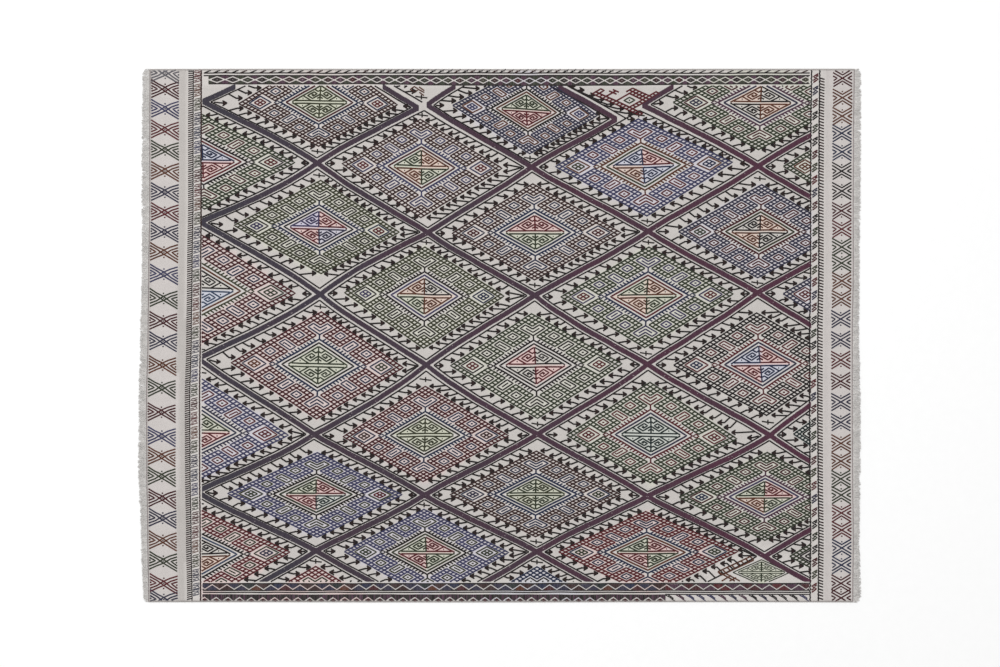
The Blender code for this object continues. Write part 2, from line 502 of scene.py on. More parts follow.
CORNER, EDGE_LINE, INNER = 16.4, 15.25, 12.5

# rows of bar crossings from the top down: x and y in millimetres, then how far the bars to
# the lower left and to the lower right of it sag at their middles. Most of these numbers were
# made by a fitting program, which the rules for this file don't allow: report.md says which.
CROSSINGS = (
    ((-581, 950, 14, 14), (10, 890, 0, 0), (822, 950, 0, 0)),
    ((-946, 745, 0, -8), (-241, 731, -6, 3), (443, 731, -1, -6), (1168, 740, -1, 0)),
    ((-582, 549, 14, 5), (100, 537, 1, 1), (821, 539, 2, -1)),
    ((-956, 362, 0, -7), (-229, 327, -12, 3), (471, 332, 4, 2), (1168, 336, 4, 0)),
    ((-573, 131, 10, 5), (110, 127, -4, 8), (820, 136, 3, -7)),
    ((-961, -73, 0, 2), (-235, -94, 11, 10), (471, -92, 6, 3), (1168, -91, -2, 0)),
    ((-591, -316, 6, -2), (119, -314, 2, -2), (861, -318, 5, 6)),
    ((-966, -498, 0, 2), (-241, -508, 4, 2), (469, -512, -2, -3), (1180, -508, -1, 0)),
    ((-586, -686, 1, -6), (117, -688, 0, -3), (844, -704, 0, 0)),
    ((-954, -895, 0, 0), (-234, -895, 0, 0), (473, -895, 0, 0), (1180, -895, 0, 0)),
)
# crossings where the bars from the left and those from the right fail to meet, each with the
# tips of both and with the lower corner of the lozenge above
SPLITS = {
    (1, 1): ((-260, 725), (-232, 735), (-245, 731)),
    (1, 2): ((371, 689), (455, 734), (400, 673)),
}
# the one bar that was left out, by its row, its place and its side
LEFT_OUT = (8, 2, 0)
# how far a bar swings off its line between two crossings, and what scales its wave to that
JOIN_DIP, DIP_SCALE = 0.0020, 10.4
# the heights about which the first and the last row of lozenges are mirrored
FIRST_ROW_Y, LAST_ROW_Y = 0.950, -0.895


def bar_tip(row, place, side):
    """Where the bars left (0) or right (1) of a crossing end, or the lozenge above it (2)."""
    x, y = SPLITS[row, place][side] if (row, place) in SPLITS else CROSSINGS[row][place][:2]
    return (x / 1000, y / 1000)


def bar_sag(sag, share):
    """How far a bar lies below its straight line, share of its way down."""
    dip = JOIN_DIP * DIP_SCALE * share * (1 - share) * (1 - 2 * share)
    return sag / 1000 * 4 * share * (1 - share) + dip


def bars_below(row, place):
    """The bars that run down from a crossing: their upper and lower tip, and their sag."""
    x, _, *sags = CROSSINGS[row][place]
    xs = [crossing[0] for crossing in CROSSINGS[row + 1]]
    left = max((k for k, at in enumerate(xs) if at < x), default=None)
    right = min((k for k, at in enumerate(xs) if at > x), default=None)
    return [(bar_tip(row, place, side), bar_tip(row + 1, end, 1 - side), sags[side])
            for side, end in ((0, left), (1, right))
            if end is not None and (row, place, side) != LEFT_OUT]


def lozenge_frame(row, x):
    """The four corners of a lozenge, left, top, right and bottom, and its sides' sags."""
    def place_of(in_row, wanted):
        found = [k for k, c in enumerate(CROSSINGS[in_row]) if wanted(c[0] / 1000)]
        return min(found, key=lambda k: abs(CROSSINGS[in_row][k][0] / 1000 - x), default=None)

    def peak(in_row, place):
        return tuple(part / 1000 for part in CROSSINGS[in_row][place][:2])

    last = len(CROSSINGS) - 1
    at_left = place_of(row, lambda at: at < x)
    at_right = place_of(row, lambda at: at > x)
    at_top = place_of(row - 1, lambda at: True) if row > 0 else None
    at_bottom = place_of(row + 1, lambda at: True) if row < last else None
    top = peak(row - 1, at_top) if at_top is not None else None
    bottom = bar_tip(row + 1, at_bottom, 2) if at_bottom is not None else None
    if top is None:
        top = (bottom[0], 2 * FIRST_ROW_Y - bottom[1])
    if bottom is None:
        bottom = (top[0], 2 * LAST_ROW_Y - top[1])
    left = bar_tip(row, at_left, 1) if at_left is not None else None
    right = bar_tip(row, at_right, 0) if at_right is not None else None
    if left is None:
        left = (2 * top[0] - right[0], right[1])
    if right is None:
        right = (2 * top[0] - left[0], left[1])
    upper = CROSSINGS[row - 1][at_top][2:] if row > 0 else (0, 0)
    lower_left = CROSSINGS[row][at_left][3] if at_left is not None else 0
    lower_right = CROSSINGS[row][at_right][2] if at_right is not None else 0
    return (left, top, right, bottom), (*upper, lower_left, lower_right)


def between(corners, s, t):
    """A place between four corners: s and t run from -1 to 1 along u and v."""
    shares = ((1 - s) * (1 - t) / 4, (1 + s) * (1 - t) / 4,
              (1 + s) * (1 + t) / 4, (1 - s) * (1 + t) / 4)
    return [sum(share * p[axis] for share, p in zip(shares, corners)) for axis in (0, 1)]


def on_cloth(lozenge, u, v):
    """Where the cell place (u, v) of a lozenge lies on the cloth.

    The edge line follows the bars; the lattice keeps to corners of its own."""
    s, t = u / CORNER, v / CORNER
    by_bars = min(max((max(abs(u), abs(v)) - INNER) / (EDGE_LINE - INNER), 0.0), 1.0)
    x, y = between(lozenge["own_corners"], s, t)
    if by_bars > 0:
        upper_left, upper_right, lower_left, lower_right = lozenge["sags"]
        outer_x, outer_y = between(lozenge["corners"], s, t)
        outer_y -= ((1 - t) / 2 * bar_sag(upper_left, (1 - s) / 2)
                    + (1 + s) / 2 * bar_sag(upper_right, (1 + t) / 2)
                    + (1 - s) / 2 * bar_sag(lower_left, (1 + t) / 2)
                    + (1 + t) / 2 * bar_sag(lower_right, (1 - s) / 2))
        x, y = x + (outer_x - x) * by_bars, y + (outer_y - y) * by_bars
    return wavered(x, y)


# ---- The bars -----------------------------------------------------------------------------
# Bands of slate and plum wool that part the lozenges. They are filled with short floats side
# by side, straight up the cloth, which leaves fine ribs across them, and a few pale specks.

BAR_HALF_HEIGHT = 0.0088
FLOAT_PITCH = 0.0026
FLOAT_WIDTH = 0.0042
SPECKS_SHARE, BARS_END = 0.022, 0.793


def filled_float(x, low, high, dye, end_girth=0.62):
    """One short float from low to high, thicker in its middle than where it dives under."""
    return ([(x, low), (x, (low + high) / 2), (x, high)], [end_girth, 1.0, end_girth], dye)


def bar_runs():
    runs, draw = [], random.Random(5)
    every_bar = [bar for row in range(len(CROSSINGS) - 1)
                 for place in range(len(CROSSINGS[row])) for bar in bars_below(row, place)]
    for start, end, sag in every_bar:
        steps = round(abs(end[0] - start[0]) / FLOAT_PITCH)
        for k in range(steps + 1):
            share = k / steps
            x, y = wavered(start[0] + (end[0] - start[0]) * share,
                           start[1] + (end[1] - start[1]) * share - bar_sag(sag, share))
            low = max(y - BAR_HALF_HEIGHT + draw.uniform(-0.0006, 0.0006), FIELD_BOTTOM)
            high = y + BAR_HALF_HEIGHT + draw.uniform(-0.0006, 0.0006)
            if high - low < 0.003 or y > BARS_END or not FIELD_LEFT < x < FIELD_RIGHT:
                continue
            patch = noise.noise(Vector((x * 5, y * 5, 7.0)))
            across = (x - FIELD_LEFT) / (FIELD_RIGHT - FIELD_LEFT) + 0.25 * patch
            dye = blended(DYES["slate"], DYES["plum"], min(max(across, 0.0), 1.0))
            runs.append(filled_float(x, low, high, dye, 0.8))
            if draw.random() < SPECKS_SHARE:
                speck = y + draw.uniform(-0.004, 0.004)
                runs.append(([(x, speck - 0.0009), (x, speck + 0.0009)], 1.15, DYES["mauve"]))
    return runs


float_wool = wool_material("filled-in wool", 60.0, 0.30, 0.6, 0.08)[0]
bars = lay_yarns("lozenge_bars", bar_runs(), FLOAT_WIDTH, 0.00085, float_wool)


# ---- The lozenges and their colours -------------------------------------------------------
# Every lozenge repeats the same figures in wools of its own: a lattice with eyes, hooks and
# chevrons set in it, a comb inside the lattice, and a medallion of four keys in the middle.

LOZENGE_COLUMNS = ("row", "x", "lattice", "figures", "dots", "left_heart", "right_heart",
                   "comb", "outline", "upper_left", "upper_right", "lower_left", "lower_right")
LOZENGES = [dict(zip(LOZENGE_COLUMNS, line)) for line in (
    (0, -0.25, "orange", "orange", "black", "red", "red",
     "black", "black", "green", "green", "green", "green"),
    (0, 0.41, "red", "red", "green", "green", "green",
     "black", "black", "green", "green", "green", "green"),
    (1, -0.58, "brown", "blue", "red", "red", "red",
     "blue", "madder", "olive", "olive", "olive", "olive"),
    (1, 0.10, "navy", "rust", "navy", "indigo", "indigo",
     "black", "orange", "green", "green", "red", "red"),
    (1, 0.82, "green", "madder", "navy", "navy", "navy",
     "purple", "navy", "orange", "black", "black", "orange"),
    (2, -0.94, "green", "madder", "orange", "orange", "red",
     "black", "red", "blue", "blue", "red", "red"),
    (2, -0.25, "brown", "indigo", "indigo", "red", "red",
     "indigo", "madder", "green", "orange", "orange", "green"),
    (2, 0.45, "indigo", "red", "red", "olive", "blue",
     "rust", "green", "blue", "red", "rust", "blue"),
    (2, 1.17, "green", "orange", "orange", "orange", "orange",
     "black", "red", "green", "green", "green", "green"),
    (3, -0.58, "olive", "black", "black", "violet", "red",
     "blue", "black", "violet", "red", "red", "navy"),
    (3, 0.10, "brown", "blue", "blue", "madder", "madder",
     "blue", "blue", "red", "red", "green", "green"),
    (3, 0.82, "navy", "madder", "madder", "green", "green",
     "madder", "olive", "black", "orange", "orange", "black"),
    (4, -0.95, "madder", "blue", "blue", "green", "green",
     "olive", "rust", "black", "black", "sky", "sky"),
    (4, -0.23, "olive", "black", "black", "violet", "blue",
     "black", "violet", "orange", "black", "green", "orange"),
    (4, 0.47, "green", "violet", "violet", "red", "red",
     "blue", "red", "green", "orange", "orange", "green"),
    (4, 1.17, "navy", "red", "red", "red", "red",
     "black", "red", "green", "green", "green", "green"),
    (5, -0.58, "madder", "blue", "blue", "orange", "green",
     "blue", "black", "green", "green", "green", "green"),
    (5, 0.11, "green", "black", "black", "red", "red",
     "black", "black", "red", "black", "black", "red"),
    (5, 0.84, "black", "red", "red", "blue", "blue",
     "red", "navy", "blue", "red", "red", "blue"),
    (6, -0.96, "indigo", "red", "olive", "red", "red",
     "navy", "blue", "green", "green", "red", "red"),
    (6, -0.24, "madder", "blue", "blue", "brown", "brown",
     "blue", "black", "olive", "olive", "olive", "olive"),
    (6, 0.47, "green", "red", "red", "red", "red",
     "red", "navy", "teal", "teal", "teal", "teal"),
    (6, 1.17, "teal", "black", "black", "black", "black",
     "black", "red", "green", "green", "green", "green"),
    (7, -0.58, "indigo", "olive", "olive", "green", "red",
     "black", "green", "green", "red", "red", "teal"),
    (7, 0.12, "brown", "blue", "blue", "navy", "green",
     "blue", "blue", "green", "olive", "olive", "green"),
    (7, 0.84, "green", "madder", "madder", "blue", "blue",
     "purple", "violet", "green", "red", "orange", "green"),
    (8, -0.96, "red", "green", "green", "navy", "navy",
     "black", "sky", "black", "black", "orange", "orange"),
    (8, -0.24, "indigo", "olive", "olive", "green", "green",
     "black", "olive", "green", "red", "red", "green"),
    (8, 0.47, "red", "blue", "blue", "green", "green",
     "blue", "orange", "green", "red", "red", "green"),
    (8, 1.18, "green", "black", "black", "black", "black",
     "black", "red", "green", "green", "green", "green"),
    (9, -0.58, "red", "green", "green", "green", "green",
     "black", "black", "green", "green", "green", "green"),
    (9, 0.12, "blue", "black", "black", "black", "black",
     "black", "black", "green", "green", "green", "green"),
    (9, 0.84, "rust", "green", "green", "green", "green",
     "black", "green", "green", "green", "green", "green"),
)]
# where a lattice's own corners lie, in millimetres, by its lozenge's row and x: it was begun
# and ended a few rows of weft off the bars' middles. Most of these numbers, too, were made by
# a fitting program, which the rules for this file don't allow: report.md says which.
OWN_CORNERS = {
    (0, 0.41): ((94, 819), (444, 1020), (794, 858), (444, 659)),
    (1, -0.58): ((-914, 735), (-554, 949), (-252, 729), (-577, 562)),
    (1, 0.10): ((-226, 737), (88, 900), (378, 696), (100, 537)),
    (1, 0.82): ((465, 743), (838, 937), (1198, 740), (821, 546)),
    (2, -0.94): ((-1334, 559), (-955, 754), (-562, 550), (-939, 356)),
    (4, -0.95): ((-1350, 164), (-951, 375), (-558, 130), (-957, -80)),
    (2, -0.25): ((-580, 553), (-255, 734), (87, 534), (-254, 323)),
    (2, 0.45): ((91, 540), (434, 734), (830, 558), (470, 329)),
    (3, -0.58): ((-933, 352), (-567, 542), (-244, 324), (-564, 153)),
    (3, 0.10): ((-233, 324), (100, 532), (472, 327), (108, 131)),
    (3, 0.82): ((489, 330), (834, 527), (1172, 329), (818, 138)),
    (4, -0.23): ((-573, 143), (-238, 328), (92, 128), (-244, -94)),
    (4, 0.47): ((109, 125), (476, 330), (828, 136), (458, -90)),
    (5, -0.58): ((-943, -83), (-565, 128), (-225, -105), (-585, -318)),
    (5, 0.11): ((-240, -95), (95, 119), (476, -87), (120, -318)),
    (5, 0.84): ((467, -96), (815, 123), (1179, -85), (856, -305)),
    (6, -0.96): ((-1331, -295), (-945, -86), (-585, -322), (-979, -515)),
    (6, -0.24): ((-580, -326), (-239, -111), (111, -322), (-249, -509)),
    (6, 0.47): ((130, -322), (476, -93), (840, -336), (476, -512)),
    (7, -0.58): ((-956, -501), (-578, -332), (-229, -507), (-580, -685)),
    (7, 0.12): ((-243, -507), (117, -325), (467, -507), (113, -682)),
    (7, 0.84): ((484, -516), (856, -327), (1181, -516), (847, -695)),
    (8, -0.96): ((-1335, -707), (-960, -509), (-580, -684), (-956, -902)),
    (8, -0.24): ((-577, -686), (-245, -512), (109, -690), (-226, -878)),
    (8, 0.47): ((100, -688), (460, -520), (850, -685), (470, -870)),
    (9, 0.84): ((549, -754), (833, -629), (1117, -754), (833, -879)),
}
# the lozenge that stops at its medallion, by its row and x
LAST_LOZENGE = (9, 0.84)

for lozenge in LOZENGES:
    here = (lozenge["row"], lozenge["x"])
    lozenge["corners"], lozenge["sags"] = lozenge_frame(*here)
    lozenge["fragment"] = here[0] == 0
    lozenge["bare"] = here == LAST_LOZENGE
    own = OWN_CORNERS.get(here)
    lozenge["own_corners"] = ([(x / 1000, y / 1000) for x, y in own] if own
                              else lozenge["corners"])

WHOLE_LOZENGES = [lozenge for lozenge in LOZENGES if not lozenge["fragment"]]
FRAMED_LOZENGES = [lozenge for lozenge in WHOLE_LOZENGES if not lozenge["bare"]]

# the four sides of a lozenge: from along, inward (0 at a side corner and at the lattice's
# rim) to (u, v)
SIDES = (
    lambda along, inward: (along - INNER, inward - INNER),
    lambda along, inward: (inward - INNER, along - INNER),
    lambda along, inward: (INNER - inward, INNER - along),
    lambda along, inward: (INNER - along, INNER - inward),
)
HALF_CELL = 0.5


def cell_run(lozenge, line, dye, girth=1.0, step=HALF_CELL):
    """A line of (u, v) places as runs on the cloth, kept inside the field."""
    on_field = [on_cloth(lozenge, u, v) for u, v in stepped(line, step)]
    return [(part, girth, DYES[dye]) for part in field_parts(on_field)]


def square(u, v, half):
    """A closed square in cells round the place (u, v)."""
    return [(u - half, v - half), (u + half, v - half), (u + half, v + half),
            (u - half, v + half), (u - half, v - half)]


# ---- The arrow bands ----------------------------------------------------------------------
# Between the bars and the lattice runs a band of ivory ground, edged on the bar's side by a
# thin dark line. Small dark arrows branch off that line and point inward on both halves.

ARROW_TIP, ARROW_ROOT = -0.55, INNER - EDGE_LINE
ARROW_UNIT, ARROW_ROOM, ARROW_REACH = 0.0032, 0.019, 0.040
STEM_LEVEL, CORNER_STEM_LEVEL = 6.4, 4.4
ROOT_PLACES, ROOT_STEP, LENGTH_COST = 25, 0.2, 0.6


def arrow_runs(tip, root, direction, draw, level=STEM_LEVEL):
    """An arrow that lies level on the cloth, its stem bent down to a root on the edge line."""
    (x, y), (root_x, root_y) = tip, root
    size = ARROW_UNIT * draw.uniform(0.90, 1.10)
    sharp = blended(DYES["umber"], DYES["black"], draw.uniform(0.3, 1.0))
    upper, lower = draw.uniform(2.1, 2.8), -draw.uniform(2.1, 2.8)
    barbs = [[(0, 0), (-4.4, upper)], [(0, 0), (-4.4, lower)]]
    fill = [[(-1.4, 0.1), (-4.0, 0.48 * upper)], [(-1.4, -0.1), (-4.0, 0.48 * lower)]]
    if draw.random() < 0.15:
        fill = [[(-3.9, upper), (-3.5, 0), (-3.9, lower)]]
    runs = []
    for lines, dye in ((barbs, sharp), (fill, blended(sharp, DYES["brown"], 0.7))):
        for line in lines:
            placed = [(x + direction * a * size, y + b * size) for a, b in line]
            runs += [(part, 1.0, dye) for part in field_parts(stepped(placed, 0.012))]
    bend = (x - direction * level * size, y + draw.uniform(-0.5, 0.1) * size)
    for part in field_parts(stepped([(x - direction * size, y), bend, (root_x, root_y)], 0.008)):
        runs.append((part, 1.05, sharp))
    return runs


def arrow_band_runs():
    runs, draw = [], random.Random(8)
    for lozenge in LOZENGES:
        if lozenge["bare"]:
            continue
        paired = draw.random() < 0.5
        for side, place in enumerate(SIDES):
            if lozenge["fragment"] and side > 1:
                continue
            line = [place(ARROW_ROOT, ARROW_ROOT), place(2 * INNER - ARROW_ROOT, ARROW_ROOT)]
            runs += cell_run(lozenge, line, "black", 0.92, 1.0)
            direction = 1 if side < 2 else -1
            first = 3.4 if paired and side > 1 else 2.1
            count = draw.choice((7, 8, 8) if side < 2 else (8, 9, 9, 10))
            spacing = (2 * INNER - 0.7 - first) / count
            for k in range(count + 1):
                along = first + k * spacing + draw.uniform(-0.2, 0.2)
                tip = on_cloth(lozenge, *place(along, ARROW_TIP + draw.uniform(-0.12, 0.12)))
                level = tip[1] + draw.uniform(0.001, 0.006) * (-1 if side % 2 else 1)
                roots = [on_cloth(lozenge, *place(along - ROOT_STEP * back, ARROW_ROOT))
                         for back in range(ROOT_PLACES)]
                root = min(roots, key=lambda spot: abs(spot[1] - level)
                           + LENGTH_COST * max(0.0, abs(tip[0] - spot[0]) - ARROW_REACH))
                if ARROW_ROOM < abs(tip[0] - root[0]):
                    runs += arrow_runs(tip, root, direction, draw)
        for end in (-1, 1):
            root = on_cloth(lozenge, end * (EDGE_LINE - 0.3), end * (EDGE_LINE - 0.3))
            for shift in ((-0.8, 0.8) if paired and end > 0 else (0.0,)):
                middle = end * (INNER + (0.0 if shift else 1.2))
                tip = on_cloth(lozenge, middle - shift, middle + shift)
                runs += arrow_runs(tip, root, -end, draw, CORNER_STEM_LEVEL)
            if draw.random() < 0.5:
                continue
            star = end * (INNER + 1.35)
            x, y = on_cloth(lozenge, star, -star)
            for line in ([(-6.0, 0.8), (-2.0, 0.1), (2.5, -0.4), (6.0, -0.8)],
                         [(0.0, 2.4), (0.0, -2.4)]):
                placed = [(x + a * ARROW_UNIT, y + b * ARROW_UNIT) for a, b in line]
                runs += [(part, 0.9, DYES["umber"])
                         for part in field_parts(stepped(placed, 0.006))]
    return runs


arrow_bands = lay_yarns("arrow_bands", arrow_band_runs(), 0.0054, 0.0010, line_wool)


# ---- The lattices -------------------------------------------------------------------------
# Each lozenge has a lattice one cell wide round its rim and round every figure, laid in one
# colour. Its lines swell where they cross, which rounds the ivory spots between them. The
# last lozenge has none, only a strip of rust lattice at its upper left.

KNOT_GIRTH, SPAN_GIRTH = 1.24, 0.90


def lattice_lines():
    """The lattice along one side, in (along, inward) cells."""
    lines = [[(along, 0), (along, 1)] for along in range(1, 25)]
    lines += [[(6, 1), (6, 5)], [(7, 1), (7, 4)], [(10, 1), (10, 4)],
              [(11, 1), (11, 5)], [(14, 1), (14, 5)], [(15, 1), (15, 4)],
              [(18, 1), (18, 4)], [(19, 1), (19, 5)]]
    lines += [[(a, b), (a + 1, b)] for a in (6, 10, 14, 18) for b in (2, 3)]
    lines += [[(6, 4), (11, 4)], [(14, 4), (19, 4)], [(6, 5), (11, 5)], [(14, 5), (19, 5)]]
    lines += [[(a, 4), (a, 5)] for a in (7, 8, 9, 10, 15, 16, 17, 18)]
    lines += [[(22, 2), (25, 2)], [(22, 3), (25, 3)], [(22, 1), (22, 3)]]
    return lines


def lattice_girth(line):
    """Thick at whole cells and thin between them, one value for each half cell."""
    values = []
    for u, v in stepped(line, HALF_CELL):
        whole = abs(u + INNER - round(u + INNER)) + abs(v + INNER - round(v + INNER)) < 0.1
        values.append(KNOT_GIRTH if whole else SPAN_GIRTH)
    return values


def swelling_run(lozenge, line, dye):
    """A lattice line on the cloth whose girth swells at the knots."""
    spots = [on_cloth(lozenge, u, v) for u, v in stepped(line, HALF_CELL)]
    girths = dict(zip(spots, lattice_girth(line)))
    return [(part, [girths.get(p, SPAN_GIRTH) for p in part], DYES[dye])
            for part in field_parts(spots)]


# what the weaver began in the upper lozenge at BEGUN_X, in (u, v), with the number of rungs
# down its left side and across it, then a small eye and strokes further left, in metres
BEGUN_X, RUNGS_DOWN, RUNGS_ACROSS = 0.41, 14, 8
BEGUN_LINES = (
    [(-12.5, 12.5), (-12.5, -1.5), (-10.0, -1.5), (-10.0, -0.5), (-11.5, -0.5)],
    [(-11.5, 12.5), (-11.5, -1.5)], [(-12.5, 12.5), (-11.5, 12.5)],
    [(-11.5, 9.5), (-3.3, 9.5)], [(-11.5, 8.5), (-3.3, 8.5)], [(-3.5, 9.5), (-3.5, 8.5)],
    [(-7.5, 9.5), (-7.5, 4.5)], [(-6.5, 9.5), (-6.5, 3.5)], [(-5.5, 9.5), (-5.5, 3.5)],
    [(-11.5, 4.5), (-5.5, 4.5)], [(-7.5, 5.5), (-5.5, 5.5)], [(-7.5, 6.5), (-5.5, 6.5)],
    [(-7.5, 7.5), (-5.5, 7.5)], [(-7.5, 3.5), (-5.5, 3.5)],
    [(-11.5, 1.5), (-8.6, 1.5)], [(-9.5, 2.6), (-9.5, 0.4)], [(-8.6, 0.6), (-8.6, 2.4)],
)
BEGUN_EYE = [(-0.286, 0.784), (-0.273, 0.793), (-0.259, 0.784), (-0.273, 0.775),
             (-0.286, 0.784)]
BEGUN_STROKES = (
    [(-0.258, 0.792), (-0.241, 0.780)], [(-0.258, 0.783), (-0.241, 0.774)],
    [(-0.257, 0.775), (-0.242, 0.764)],
)


def begun_runs():
    owner = next(lozenge for lozenge in LOZENGES if lozenge["x"] == BEGUN_X)
    runs = []
    for line in BEGUN_LINES:
        runs += cell_run(owner, line, "red", 1.1)
    for k in range(RUNGS_DOWN):
        runs += swelling_run(owner, [(-12.5, 11.5 - k), (-11.5, 11.5 - k)], "red")
    for k in range(RUNGS_ACROSS):
        runs += swelling_run(owner, [(-11.5 + k, 9.5), (-11.5 + k, 8.5)], "red")
    runs += cell_run(owner, square(-9.5, 6.5, 0.85), "green", 0.95)
    runs += cell_run(owner, [(-9.6, 6.4), (-9.4, 6.6)], "green", 0.95)
    for line in (BEGUN_EYE, *BEGUN_STROKES):
        runs.append((stepped(line, 0.006), 0.85, DYES["orange"]))
    return runs


# the strip beside the last lozenge: its rungs, and its lines with those that fan out below
STRIP_RUNGS, STRIP_X, STRIP_Y = 8, 0.694, -0.752
STRIP_STEP_X, STRIP_STEP_Y, STRIP_WIDTH = 0.0147, 0.0069, 0.011
STRIP_LINES = (
    [(0.694, -0.752), (0.797, -0.704)], [(0.705, -0.763), (0.808, -0.715)],
    [(0.694, -0.752), (0.748, -0.782)], [(0.716, -0.756), (0.764, -0.782)],
    [(0.706, -0.782), (0.736, -0.764)], [(0.731, -0.782), (0.752, -0.771)],
)


def strip_runs():
    runs = []
    for k in range(STRIP_RUNGS):
        x, y = STRIP_X + STRIP_STEP_X * k, STRIP_Y + STRIP_STEP_Y * k
        runs.append(([(x, y), (x + STRIP_WIDTH, y - STRIP_WIDTH)], 1.0, DYES["rust"]))
    for line in STRIP_LINES:
        runs.append((stepped(line, 0.008), 1.0, DYES["rust"]))
    return runs


def lattice_runs():
    runs = []
    side_lines = lattice_lines()
    for lozenge in FRAMED_LOZENGES:
        dye = lozenge["lattice"]
        for half in (INNER, INNER - 1):
            runs += swelling_run(lozenge, square(0, 0, half), dye)
        for place in SIDES:
            for line in side_lines:
                runs += swelling_run(lozenge, [place(a, b) for a, b in line], dye)
    return runs + strip_runs() + begun_runs()


lattices = lay_yarns("lozenge_lattices", lattice_runs(), 0.0052, 0.0010, line_wool)


# ---- The figures in the lattice -----------------------------------------------------------
# Set into each side are two small eyes with a hooked rectangle between them, a large eye in
# each side corner and a double chevron at the top and bottom.

EYE_HALF, BIG_EYE_HALF, HEART_HALF = 0.82, 1.70, 0.92
# the large eyes whose ring isn't laid in the colour of the other figures
BIG_RING_DYES = {
    (2, -0.94, 1): "black", (2, 0.45, -1): "rust", (2, 0.45, 1): "rust",
    (3, -0.58, 1): "blue", (4, -0.95, 1): "green", (4, -0.23, 1): "blue",
}


def figure_runs():
    runs, draw = [], random.Random(12)
    for lozenge in FRAMED_LOZENGES:
        dye, dots = lozenge["figures"], lozenge["dots"]
        for place in SIDES:
            def lay(line, colour=dye, girth=0.95, to_cells=place, owner=lozenge):
                return cell_run(owner, [to_cells(a, b) for a, b in line], colour, girth)
            for along in (8.5, 16.5):
                runs += lay(square(along, 2.5, EYE_HALF))
                runs += lay([(along - 0.16, 2.34), (along + 0.16, 2.66)], dots, 0.9)
            runs += lay([(11.68, 1.7), (13.32, 1.7), (13.32, 4.9), (11.68, 4.9), (11.68, 1.7)])
            inner = [(12.5, 4.3), (12.5, 2.4)]
            if draw.random() < 0.5:
                inner.append((12.05, 2.4))
            runs += lay(inner, dye, 0.85)
            runs += lay([(21.3, 3.7), (21.3, 1.7), (19.7, 1.7), (19.7, 5.3)])
            runs += lay([(20.5, 2.55), (20.5, 4.5)], dye, 0.9)
        for end, heart in ((-1, "left_heart"), (1, "right_heart")):
            middle = end * (INNER - 3.25)
            ring = BIG_RING_DYES.get((lozenge["row"], lozenge["x"], end), dye)
            runs += cell_run(lozenge, square(middle, middle, BIG_EYE_HALF), ring, 0.95)
            for shift in (-HEART_HALF, 0.0, HEART_HALF):
                for line in ([(middle - HEART_HALF, middle + shift),
                              (middle + HEART_HALF, middle + shift)],
                             [(middle + shift, middle - HEART_HALF),
                              (middle + shift, middle + HEART_HALF)]):
                    runs += cell_run(lozenge, line, lozenge[heart], 0.9)
    return runs


figures = lay_yarns("lattice_figures", figure_runs(), 0.0052, 0.0010, line_wool)


# ---- The combs ----------------------------------------------------------------------------
# Inside the lattice a thick line with a row of short teeth goes all the way round. A small
# square stands at each side corner of it, and a short stem at its top and its bottom.

COMB_BASE, COMB_TIP, TOOTH_PITCH = 6.12, 7.10, 0.87


def comb_runs():
    runs = []
    for lozenge in FRAMED_LOZENGES:
        dye = lozenge["comb"]
        runs += cell_run(lozenge, square(0, 0, COMB_BASE), dye, 1.08)
        teeth = int(2 * COMB_BASE / TOOTH_PITCH)
        for place in SIDES:
            for k in range(1, teeth):
                along = INNER - COMB_BASE + k * TOOTH_PITCH
                tooth = [(along, INNER - COMB_BASE), (along, INNER - COMB_TIP)]
                runs += cell_run(lozenge, [place(a, b) for a, b in tooth], dye, 0.94)
        for end in (-1, 1):
            tip = end * (COMB_BASE + 0.5)
            runs += cell_run(lozenge, square(tip, tip, 0.45), dye, 0.85)
            stem = [(end * COMB_BASE, -end * COMB_BASE), (end * 7.2, -end * 7.2)]
            runs += cell_run(lozenge, stem, dye, 1.0)
    return runs


combs = lay_yarns("lozenge_combs", comb_runs(), 0.0053, 0.0010, line_wool)


# ---- The medallions -----------------------------------------------------------------------
# The middle of a lozenge is a medallion, edged in one wool and quartered by an ivory band
# across it and a line up it. Each quarter has a square key, a dotted triangle and small hooks.

MEDALLION_RIM, MEDALLION_LINING, BAND_HALF = 5.25, 4.42, 0.38
LAST_THINNESS = 0.6

# one quarter, the upper left, in (u, v) cells
KEY = [(2.15, -2.15), (-0.2, -2.15), (-0.2, -3.75), (1.75, -3.75), (1.75, -2.75),
       (0.55, -2.75), (0.55, -3.2), (1.1, -3.2)]
QUARTER_LINES = (
    [(-4.2, -4.42), (4.3, -4.42)],
    [(BAND_HALF, -BAND_HALF), (-3.85 + BAND_HALF, -3.85 - BAND_HALF)],
    [(-0.95, -4.42), (-0.95, -1.7)],
    KEY,
    [(2.5, -4.42), (2.5, -3.25), (3.15, -3.25)],
    [(0.55, -1.45), (1.4, -1.45)],
)
TRIANGLE_DOT = [(-1.75, -3.7), (-1.55, -3.6)]
QUARTERS = (
    ("upper_left", lambda u, v: (u, v)),
    ("upper_right", lambda u, v: (-v, -u)),
    ("lower_left", lambda u, v: (v, u)),
    ("lower_right", lambda u, v: (-u, -v)),
)
# the ivory where each wool's dye has crept into it, and how much of that shows
BLEED = {
    "red": dyed(226, 190, 186), "madder": dyed(221, 190, 187), "orange": dyed(223, 198, 183),
    "rust": dyed(220, 196, 183), "blue": dyed(198, 201, 217), "violet": dyed(201, 196, 219),
    "indigo": dyed(199, 196, 216), "navy": dyed(201, 198, 212), "sky": dyed(198, 203, 217),
    "green": dyed(202, 205, 185), "olive": dyed(203, 206, 183), "teal": dyed(198, 204, 197),
    "brown": dyed(212, 199, 194), "black": dyed(205, 201, 194),
}
QUARTER_TINT, LATTICE_TINT, TINT_MARGIN = 0.78, 0.4, 0.3


